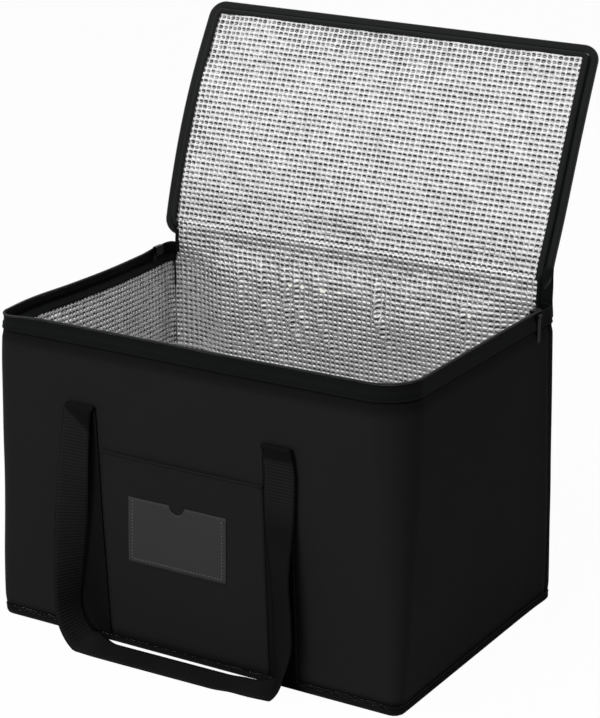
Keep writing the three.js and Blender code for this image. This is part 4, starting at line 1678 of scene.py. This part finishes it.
@dataclass
class Handle:
    """One webbing handle: two straps sewn to a wall, and a loop that folds over their tops and hangs down."""

    box: BoxForm
    finishes: Finishes
    face: Face
    width: float = 0.038
    webbing: float = 0.0019
    spacing: float = 0.250
    centre_x: float = -0.0157
    fold_height: float = 0.2705
    strap_bottom: float = 0.0116
    left_drift: float = 0.0200
    right_drift: float = 0.0110
    left_sway: float = -0.006
    right_sway: float = 0.0140
    left_floor_y: float = 0.2038
    clear: float = 0.0045
    left_corner: float = 0.040
    right_corner: float = 0.018
    landing: float = 0.026
    right_landing: float = 0.052
    right_landing_gap: float = 0.0008
    rib: float = 0.0035
    rib_height: float = 0.00022
    strap_ribs_and_shade: float = 0.15
    seam_across: float = 0.0165

    def wall_point(self, x: float, off: float, z: float) -> Vector:
        """A point off the wall that carries the handle."""
        run = self.box.front_run(x) if self.face is Face.FRONT else self.box.back_run(x)
        return self.box.wall(run, -off, z)

    def strap_x(self, leg: Leg, z: float) -> float:
        """Where the middle of a sewn strap lies at a height."""
        fall = (self.fold_height - z) / self.fold_height
        drift = self.left_drift if leg is Leg.LEFT else self.right_drift
        return self.centre_x + leg.value * self.spacing / 2 + drift * fall

    def ribbon(
        self, name: str, line: Line, step: float, ribbing: Callable[[float, float], float]
    ) -> Piece:
        """Makes a band of ribbed webbing along a line.

        Args:
            name: The piece's name.
            line: Points of the band's middle, each with the direction of its width.
            step: The grid's size along the band.
            ribbing: How strongly the ribs stand at a distance along the band and a share across it, which
                also sets how much painted shade the colour takes.

        Returns:
            The object.
        """
        points = [p for p, _ in line]
        runs = [0.0]
        for first, second in zip(points, points[1:]):
            runs.append(runs[-1] + (second - first).length)
        whole = runs[-1]
        half, thin = self.width / 2, self.webbing / 2
        profile = [
            (-half, 0.0),
            (-half + 0.0007, thin * 0.85),
            (-half + 0.0018, thin),
            (half - 0.0018, thin),
            (half - 0.0007, thin * 0.85),
            (half, 0.0),
            (half - 0.0007, -thin * 0.85),
            (half - 0.0018, -thin),
            (-half + 0.0018, -thin),
            (-half + 0.0007, -thin * 0.85),
            (-half, 0.0),
        ]

        def place(u: float, v: float) -> Vector:
            """Places one point of the band."""
            run = u * whole
            k = min(len(line) - 2, max(0, sum(1 for r in runs[1:-1] if r <= run)))
            share = (run - runs[k]) / max(1e-9, runs[k + 1] - runs[k])
            centre = points[k].lerp(points[k + 1], share)
            side = line[k][1].lerp(line[k + 1][1], share).normalized()
            before, after = points[max(0, k - 1)], points[min(len(points) - 1, k + 2)]
            way = (points[k + 1] - points[k]).lerp(after - before, 0.5).normalized()
            out = way.cross(side).normalized()
            across, off = along(profile, v)
            ridge = 0.5 + 0.5 * math.cos(2 * math.pi * run / self.rib)
            strength = ribbing(run, across / self.width + 0.5)
            off += math.copysign(self.rib_height * ridge * strength, off) if abs(off) > thin * 0.5 else 0.0
            return centre + side * across + out * off

        def pressed_and_shaded(u: float, v: float) -> float:
            """How strongly the ribs stand at one point, and so how little painted shade it takes."""
            return ribbing(u * whole, along(profile, v)[0] / self.width + 0.5)

        size = (whole, profile_length(profile))
        return Patch(name, size, (step, 0.004), place, tube=True, ribs=pressed_and_shaded).build(self.finishes.webbing)

    def strap_line(self, leg: Leg) -> Line:
        """The line of a sewn strap, from its foot to its fold."""
        count = 44
        line = []
        for k in range(count + 1):
            z = mixed(self.strap_bottom, self.fold_height - 0.004, k / count)
            x = self.strap_x(leg, z)
            side = self.wall_point(x + 0.01, 0.0013, z) - self.wall_point(x - 0.01, 0.0013, z)
            line.append((self.wall_point(x, 0.0013, z), side.normalized()))
        return line

    def leg_line(self, leg: Leg) -> Line:
        """The line of one leg of the loop, from its fold down to the floor.

        Args:
            leg: Which leg.

        Returns:
            Points, each with the direction of the webbing's width.
        """
        face = self.face.value
        top_x = self.strap_x(leg, self.fold_height)
        near = self.wall_point(top_x, 0.0013, self.fold_height - 0.005)
        over = self.wall_point(top_x, 0.0036, self.fold_height)
        front = self.wall_point(top_x, 0.0060, self.fold_height - 0.003)
        line = [(near + Vector((0, 0, 0.0032)), 0.0, 0.0), (over, 0.0, 0.0), (front, 0.0, 0.0)]
        left = leg is Leg.LEFT
        corner = self.left_corner if left else self.right_corner
        knee = corner + 0.012
        count = 40
        for k in range(1, count + 1):
            fall = k / count * (1 - knee / self.fold_height)
            z = self.fold_height * (1 - fall)
            turn = self.turned(leg, z)
            if left:
                x = top_x + self.left_sway * fall
                y = mixed(front.y, face * self.left_floor_y, fall**0.8)
            else:
                x = top_x + self.right_sway * (0.3 * ease(0.0, 0.12, fall) + 0.7 * ease(0.25, 0.75, fall))
                y = self.wall_point(x, self.clear + self.width / 2 * math.sin(turn), z).y
            line.append((Vector((x, y, z)), turn, 0.0))
        end = line[-1][0]
        inner_x = end.x - leg.value * corner
        steps = 16
        for k in range(1, steps + 1):
            bend = math.pi / 2 * k / steps
            x = inner_x + leg.value * corner * math.cos(bend)
            z = 0.0012 + (end.z - 0.0012) * (1 - math.sin(bend))
            turn = self.turned(leg, end.z - corner * bend)
            if left:
                y = mixed(end.y, face * self.left_floor_y, math.sin(bend))
            else:
                gap = mixed(self.clear, self.right_landing_gap, math.sin(bend))
                y = self.wall_point(x, gap + self.width / 2 * math.sin(turn), max(z, 0.012)).y
            z = max(z, 0.0011 + self.width / 2 * math.cos(turn) * math.sin(bend))
            line.append((Vector((x, y, z)), turn, bend))
        landed = end.z - corner * math.pi / 2
        landing = self.landing if left else self.right_landing
        for k in range(1, 9):
            x = inner_x - leg.value * landing * k / 8
            turn = self.turned(leg, landed - landing * k / 8)
            y = face * self.left_floor_y
            if not left:
                gap = mixed(self.right_landing_gap, self.clear, ease(0.55, 1.0, k / 8))
                y = self.wall_point(x, gap + self.width / 2 * math.sin(turn), 0.012).y
            z = 0.0011 + self.width / 2 * math.cos(turn)
            line.append((Vector((x, y, z)), turn, math.pi / 2))
        sides = []
        for point, turn, bend in line:
            level = math.cos(turn)
            across = -leg.value * level * math.cos(bend)
            sides.append((point, Vector((across, -face * math.sin(turn), level * math.sin(bend)))))
        return sides

    def turned(self, leg: Leg, level: float) -> float:
        """How far a leg has turned from facing the front to lying on the floor.

        Args:
            leg: Which leg.
            level: The height, and below zero the way on along the floor.

        Returns:
            The angle, which stays a little short of flat.
        """
        if leg is Leg.LEFT:
            share = 0.8 * ease(0.244, 0.02, level) + 0.185 * ease(0.004, -0.024, level)
        else:
            share = 0.3 * ease(0.21, 0.12, level) + 0.685 * ease(0.062, -0.022, level)
        return share * math.pi / 2

    def loop(self) -> Piece:
        """Makes the loose loop.

        Returns:
            The object.
        """
        line = self.leg_line(Leg.LEFT) + self.leg_line(Leg.RIGHT)[::-1]
        whole = sum((b[0] - a[0]).length for a, b in zip(line, line[1:]))

        def ribs(run: float, share: float) -> float:
            """The ribs are pressed flat near the folds, and along most of the right leg; there the colour is
            painted darker as shade.
            """
            first = ease(0.006 + 0.024 * share, 0.010 + 0.026 * share, run)
            left = whole - run
            flat = 0.85 * ease(0.060, 0.100, left) * ease(0.300, 0.262, left)
            return first * ease(0.016, 0.024, left) * (1 - flat)

        name = "front_carrying_loop" if self.face is Face.FRONT else "back_carrying_loop"
        return self.ribbon(name, line, self.rib / 5, ribs)

    def build(self) -> None:
        """Builds the handle."""
        word = self.face.name.lower()
        for leg in Leg:
            name = f"{word}_{leg.name.lower()}_sewn_strap"
            line = self.strap_line(leg)
            # The sewn straps' ribs stand low, and their colour is painted mostly in the darker shade.
            strap = self.ribbon(name, line, self.rib / 4, lambda run, share: self.strap_ribs_and_shade)
            dress(strap, BODY, "webbing", f"{word}_handle_strap_{leg.name.lower()}")
        loop = dress(self.loop(), f"{word}_handle", "webbing", f"{word}_handle_loop")
        if self.face is Face.FRONT:
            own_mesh(loop)
        seams = Stitches(f"{word}_strap_stitches")
        for leg in Leg:
            for across in (-self.seam_across, self.seam_across):
                points = []
                for k in range(60):
                    z = mixed(self.strap_bottom + 0.004, self.fold_height - 0.012, k / 59)
                    points.append(self.wall_point(self.strap_x(leg, z) + across, 0.0024, z))
                seams.row(points)
        dress(seams.build(self.finishes.thread), BODY, "webbing")


@dataclass
class Pocket:
    """The flat front pocket with its hem, and the clear card window sewn on it."""

    box: BoxForm
    finishes: Finishes
    handle: Handle
    width: float = 0.2105
    top: float = 0.2230
    bottom: float = 0.0116
    off: float = 0.0003
    cloth: float = 0.0010
    window_x: float = -0.0162
    window_width: float = 0.1255
    window_low: float = 0.1020
    window_high: float = 0.1775
    film: float = 0.0006
    notch_x: float = -0.0163
    notch_half: float = 0.0095
    notch_depth: float = 0.009

    def front(self, x: float, off: float, z: float) -> Vector:
        """A point off the front wall."""
        return self.box.wall(self.box.front_run(x), -off, z)

    def edges(self, z: float) -> Pair:
        """The pocket's two edges, which follow the straps."""
        half = self.handle.width / 2 + 0.0006
        return self.handle.strap_x(Leg.LEFT, z) + half, self.handle.strap_x(Leg.RIGHT, z) - half

    def panel(self) -> None:
        """Makes the pocket's cloth."""

        def place(u: float, v: float) -> Vector:
            """Places one point of the pocket."""
            z = mixed(self.bottom, self.top, v)
            left, right = self.edges(z)
            # The hem is two layers of cloth, and the free edge stands off the bag a little in the middle.
            hem = 0.0016 * ease(self.top - 0.0034, self.top - 0.0018, z)
            hem -= 0.0003 * hump(self.top - 0.0042, 0.001, z)
            gape = 0.0012 * math.sin(math.pi * u) * ease(self.top - 0.06, self.top, z)
            return self.front(mixed(left, right, u), self.off + self.cloth + hem + gape, z)

        size = (self.width, self.top - self.bottom)
        cloth = Patch("front_pocket_cloth", size, (0.0042, 0.0008), place).build(self.finishes.shell)
        dress(thicken(cloth, self.cloth), BODY, "outer_fabric", "front_pocket")

    def window_edge(self, x: float) -> float:
        """The window's upper edge, with the thumb notch cut in it."""
        from_middle = abs(x - self.notch_x)
        if from_middle >= self.notch_half:
            return self.window_high
        return self.window_high - self.notch_depth * math.sqrt(1 - (from_middle / self.notch_half) ** 2)

    def window_off(self) -> float:
        """How far the film lies off the wall."""
        return self.off + self.cloth + 0.0004 + self.film

    def window(self) -> None:
        """Makes the film of the card window."""
        half = self.window_width / 2

        def place(u: float, v: float) -> Vector:
            """Places one point of the film."""
            x = self.window_x + (2 * u - 1) * half
            z = mixed(self.window_low, self.window_edge(x), v)
            return self.front(x, self.window_off(), z)

        size = (self.window_width, self.window_high - self.window_low)
        film = Patch("clear_card_window", size, (0.0012, 0.0042), place).build(self.finishes.film)
        dress(thicken(film, self.film), BODY, "window", "card_window")

    def sew(self) -> None:
        """Sews three sides of the window."""
        seams = Stitches("pocket_stitches", pitch=0.0038, length=0.0016, width=0.0011)
        margin = 0.0055
        half = self.window_width / 2 - margin
        off = self.window_off() + 0.0001
        low = self.window_low + margin
        corners = [
            (self.window_x - half, self.window_high - 0.002),
            (self.window_x - half, low),
            (self.window_x + half, low),
            (self.window_x + half, self.window_high - 0.002),
        ]
        line = [self.front(*(p[0], off, p[1])) for p in (along(corners, k / 120) for k in range(121))]
        seams.row(line)
        dress(seams.build(self.finishes.clear_thread), BODY, "outer_fabric")

    def build(self) -> None:
        """Builds the pocket."""
        self.panel()
        self.window()
        self.sew()


@dataclass
class Hardware:
    """The rigid pieces, which keep their own shapes: zip sliders, pulls and the board in the base."""

    finishes: Finishes
    nodes: dict

    def build(self) -> None:
        """Gives the rigid nodes their finishes."""
        for side in ("left", "right"):
            for part in ("zip_slider", "zip_pull"):
                self.paint(f"{part}_{side}", self.finishes.lacquer)
        self.paint("base_stiffener", self.finishes.board)

    def paint(self, node: str, finish: Material) -> None:
        """Puts a finish on a node."""
        mesh = self.nodes[node].data
        mesh.materials.clear()
        mesh.materials.append(finish)
        LOG.info("%s keeps its shape", node)


@dataclass
class Studio:
    """The camera at the photograph's angle, soft lights, a pale floor and a white background."""

    azimuth: float = 31.15
    elevation: float = 18.38
    eye: Vector = field(default_factory=lambda: Vector((1.2908, -2.0871, 1.1107)))
    focal_pixels: float = 2346.75
    long_side_pixels: float = 718.0
    sensor: float = 36.0

    def camera(self) -> None:
        """Makes the camera."""
        data = bpy.data.cameras.new("camera")
        data.sensor_width = self.sensor
        data.lens = self.focal_pixels * self.sensor / self.long_side_pixels
        data.clip_start = 0.05
        data.clip_end = 60.0
        eye = bpy.data.objects.new("camera", data)
        bpy.context.scene.collection.objects.link(eye)
        a, e = math.radians(self.azimuth), math.radians(self.elevation)
        back = Vector((math.sin(a) * math.cos(e), -math.cos(a) * math.cos(e), math.sin(e)))
        eye.rotation_mode = "QUATERNION"
        eye.location = self.eye
        eye.rotation_quaternion = (-back).to_track_quat("-Z", "Y")
        bpy.context.scene.camera = eye

    def lamp(self, name: str, place: Pair, height: float, size: float, power: float) -> None:
        """Makes a soft square lamp that looks at the bag's middle.

        Args:
            name: The lamp's name.
            place: Its x and y.
            height: Its height.
            size: The side of the square.
            power: In watts.
        """
        data = bpy.data.lights.new(name, "AREA")
        data.shape = "SQUARE"
        data.size = size
        data.energy = power
        lamp = bpy.data.objects.new(name, data)
        bpy.context.scene.collection.objects.link(lamp)
        lamp.visible_glossy = False
        lamp.location = Vector((*place, height))
        lamp.rotation_mode = "QUATERNION"
        lamp.rotation_quaternion = (Vector((0, 0, 0.25)) - lamp.location).to_track_quat("-Z", "Y")

    def backdrop(self) -> None:
        """Makes the world: white to the eye and in reflections, a soft grey light on the bag."""
        world = bpy.data.worlds.new("studio")
        bpy.context.scene.world = world
        world.use_nodes = True
        tree = world.node_tree
        tree.nodes.clear()
        path = add(tree, "ShaderNodeLightPath").outputs
        seen = maths(tree, "MAXIMUM", path["Is Camera Ray"], path["Is Transmission Ray"])
        # The tent is bright above and dim near the floor, so that the pressed foil shows its relief.
        where = add(tree, "ShaderNodeTexCoord").outputs["Generated"]
        height = add(tree, "ShaderNodeSeparateXYZ", links={"Vector": where}).outputs["Z"]
        low = {"From Min": -0.16, "From Max": 0.10, "To Min": 0.12, "To Max": 0.76} | SOFT
        high = {"From Min": 0.14, "From Max": 1.0, "To Min": 0.0, "To Max": 0.45}
        tent = maths(
            tree,
            "ADD",
            add(tree, "ShaderNodeMapRange", low, {"Value": height}).outputs["Result"],
            add(tree, "ShaderNodeMapRange", high, {"Value": height}).outputs["Result"],
        )
        mirror = maths(tree, "MULTIPLY", path["Is Glossy Ray"], tent)
        strength = maths(tree, "MAXIMUM", maths(tree, "MAXIMUM", seen, mirror), 0.12)
        light = add(tree, "ShaderNodeBackground", {"Color": linear("#ffffff")}, {"Strength": strength})
        add(tree, "ShaderNodeOutputWorld", links={"Surface": light.outputs[0]})

    def floor(self) -> None:
        """Makes the pale floor, which reads as white to the eye and keeps the bag's soft shadow."""
        form = bmesh.new()
        bmesh.ops.create_grid(form, x_segments=8, y_segments=8, size=14.0)
        bmesh.ops.translate(form, verts=form.verts, vec=(0, 0, -0.0004))
        material = new_material("white_paper_floor")
        tree = material.node_tree
        path = add(tree, "ShaderNodeLightPath").outputs
        where = add(tree, "ShaderNodeTexCoord").outputs["Object"]
        colour = tint(tree, cloud(tree, where, 3.0, 2.0), linear("#d6d6d6"), linear("#dcdcdc"))
        paper = add(tree, "ShaderNodeBsdfDiffuse", links={"Color": colour}).outputs[0]
        glow = add(tree, "ShaderNodeEmission", {"Color": linear("#ffffff"), "Strength": 1.0}).outputs[0]
        share = maths(tree, "MULTIPLY", path["Is Camera Ray"], 0.975)
        surface = add(tree, "ShaderNodeMixShader", links={0: share, 1: paper, 2: glow}).outputs[0]
        add(tree, "ShaderNodeOutputMaterial", links={"Surface": surface})
        put("paper_floor", form, material)

    def build(self) -> None:
        """Builds the studio."""
        scene = bpy.context.scene
        scene.view_settings.view_transform = "Standard"
        self.camera()
        self.lamp("key_light", (-0.5, -3.3), 2.4, 1.8, 112.0)
        self.lamp("fill_light", (2.6, -1.6), 1.8, 1.6, 1.5)
        self.lamp("top_light", (-0.2, -0.6), 2.9, 1.6, 28.0)
        self.backdrop()
        self.floor()


def main() -> None:
    """Builds the dressed bag in its studio."""
    logging.basicConfig(level=logging.INFO, format="%(name)s %(message)s")
    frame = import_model()
    Studio().build()
    finishes = Finishes()
    box = BoxForm()
    lid_form = LidForm()
    Insulation(box, finishes).build()
    OuterShell(box, finishes).build()
    Rim(box, finishes).build()
    Lid(box, lid_form, finishes).build()
    foil = FoilLining(box, lid_form, finishes)
    foil.build()
    HingeEnds(box, lid_form, foil, finishes).build()
    front_handle = Handle(box, finishes, Face.FRONT)
    front_handle.build()
    Handle(box, finishes, Face.BACK).build()
    Pocket(box, finishes, front_handle).build()
    Hardware(finishes, frame["nodes"]).build()


if __name__ == "__main__":
    main()
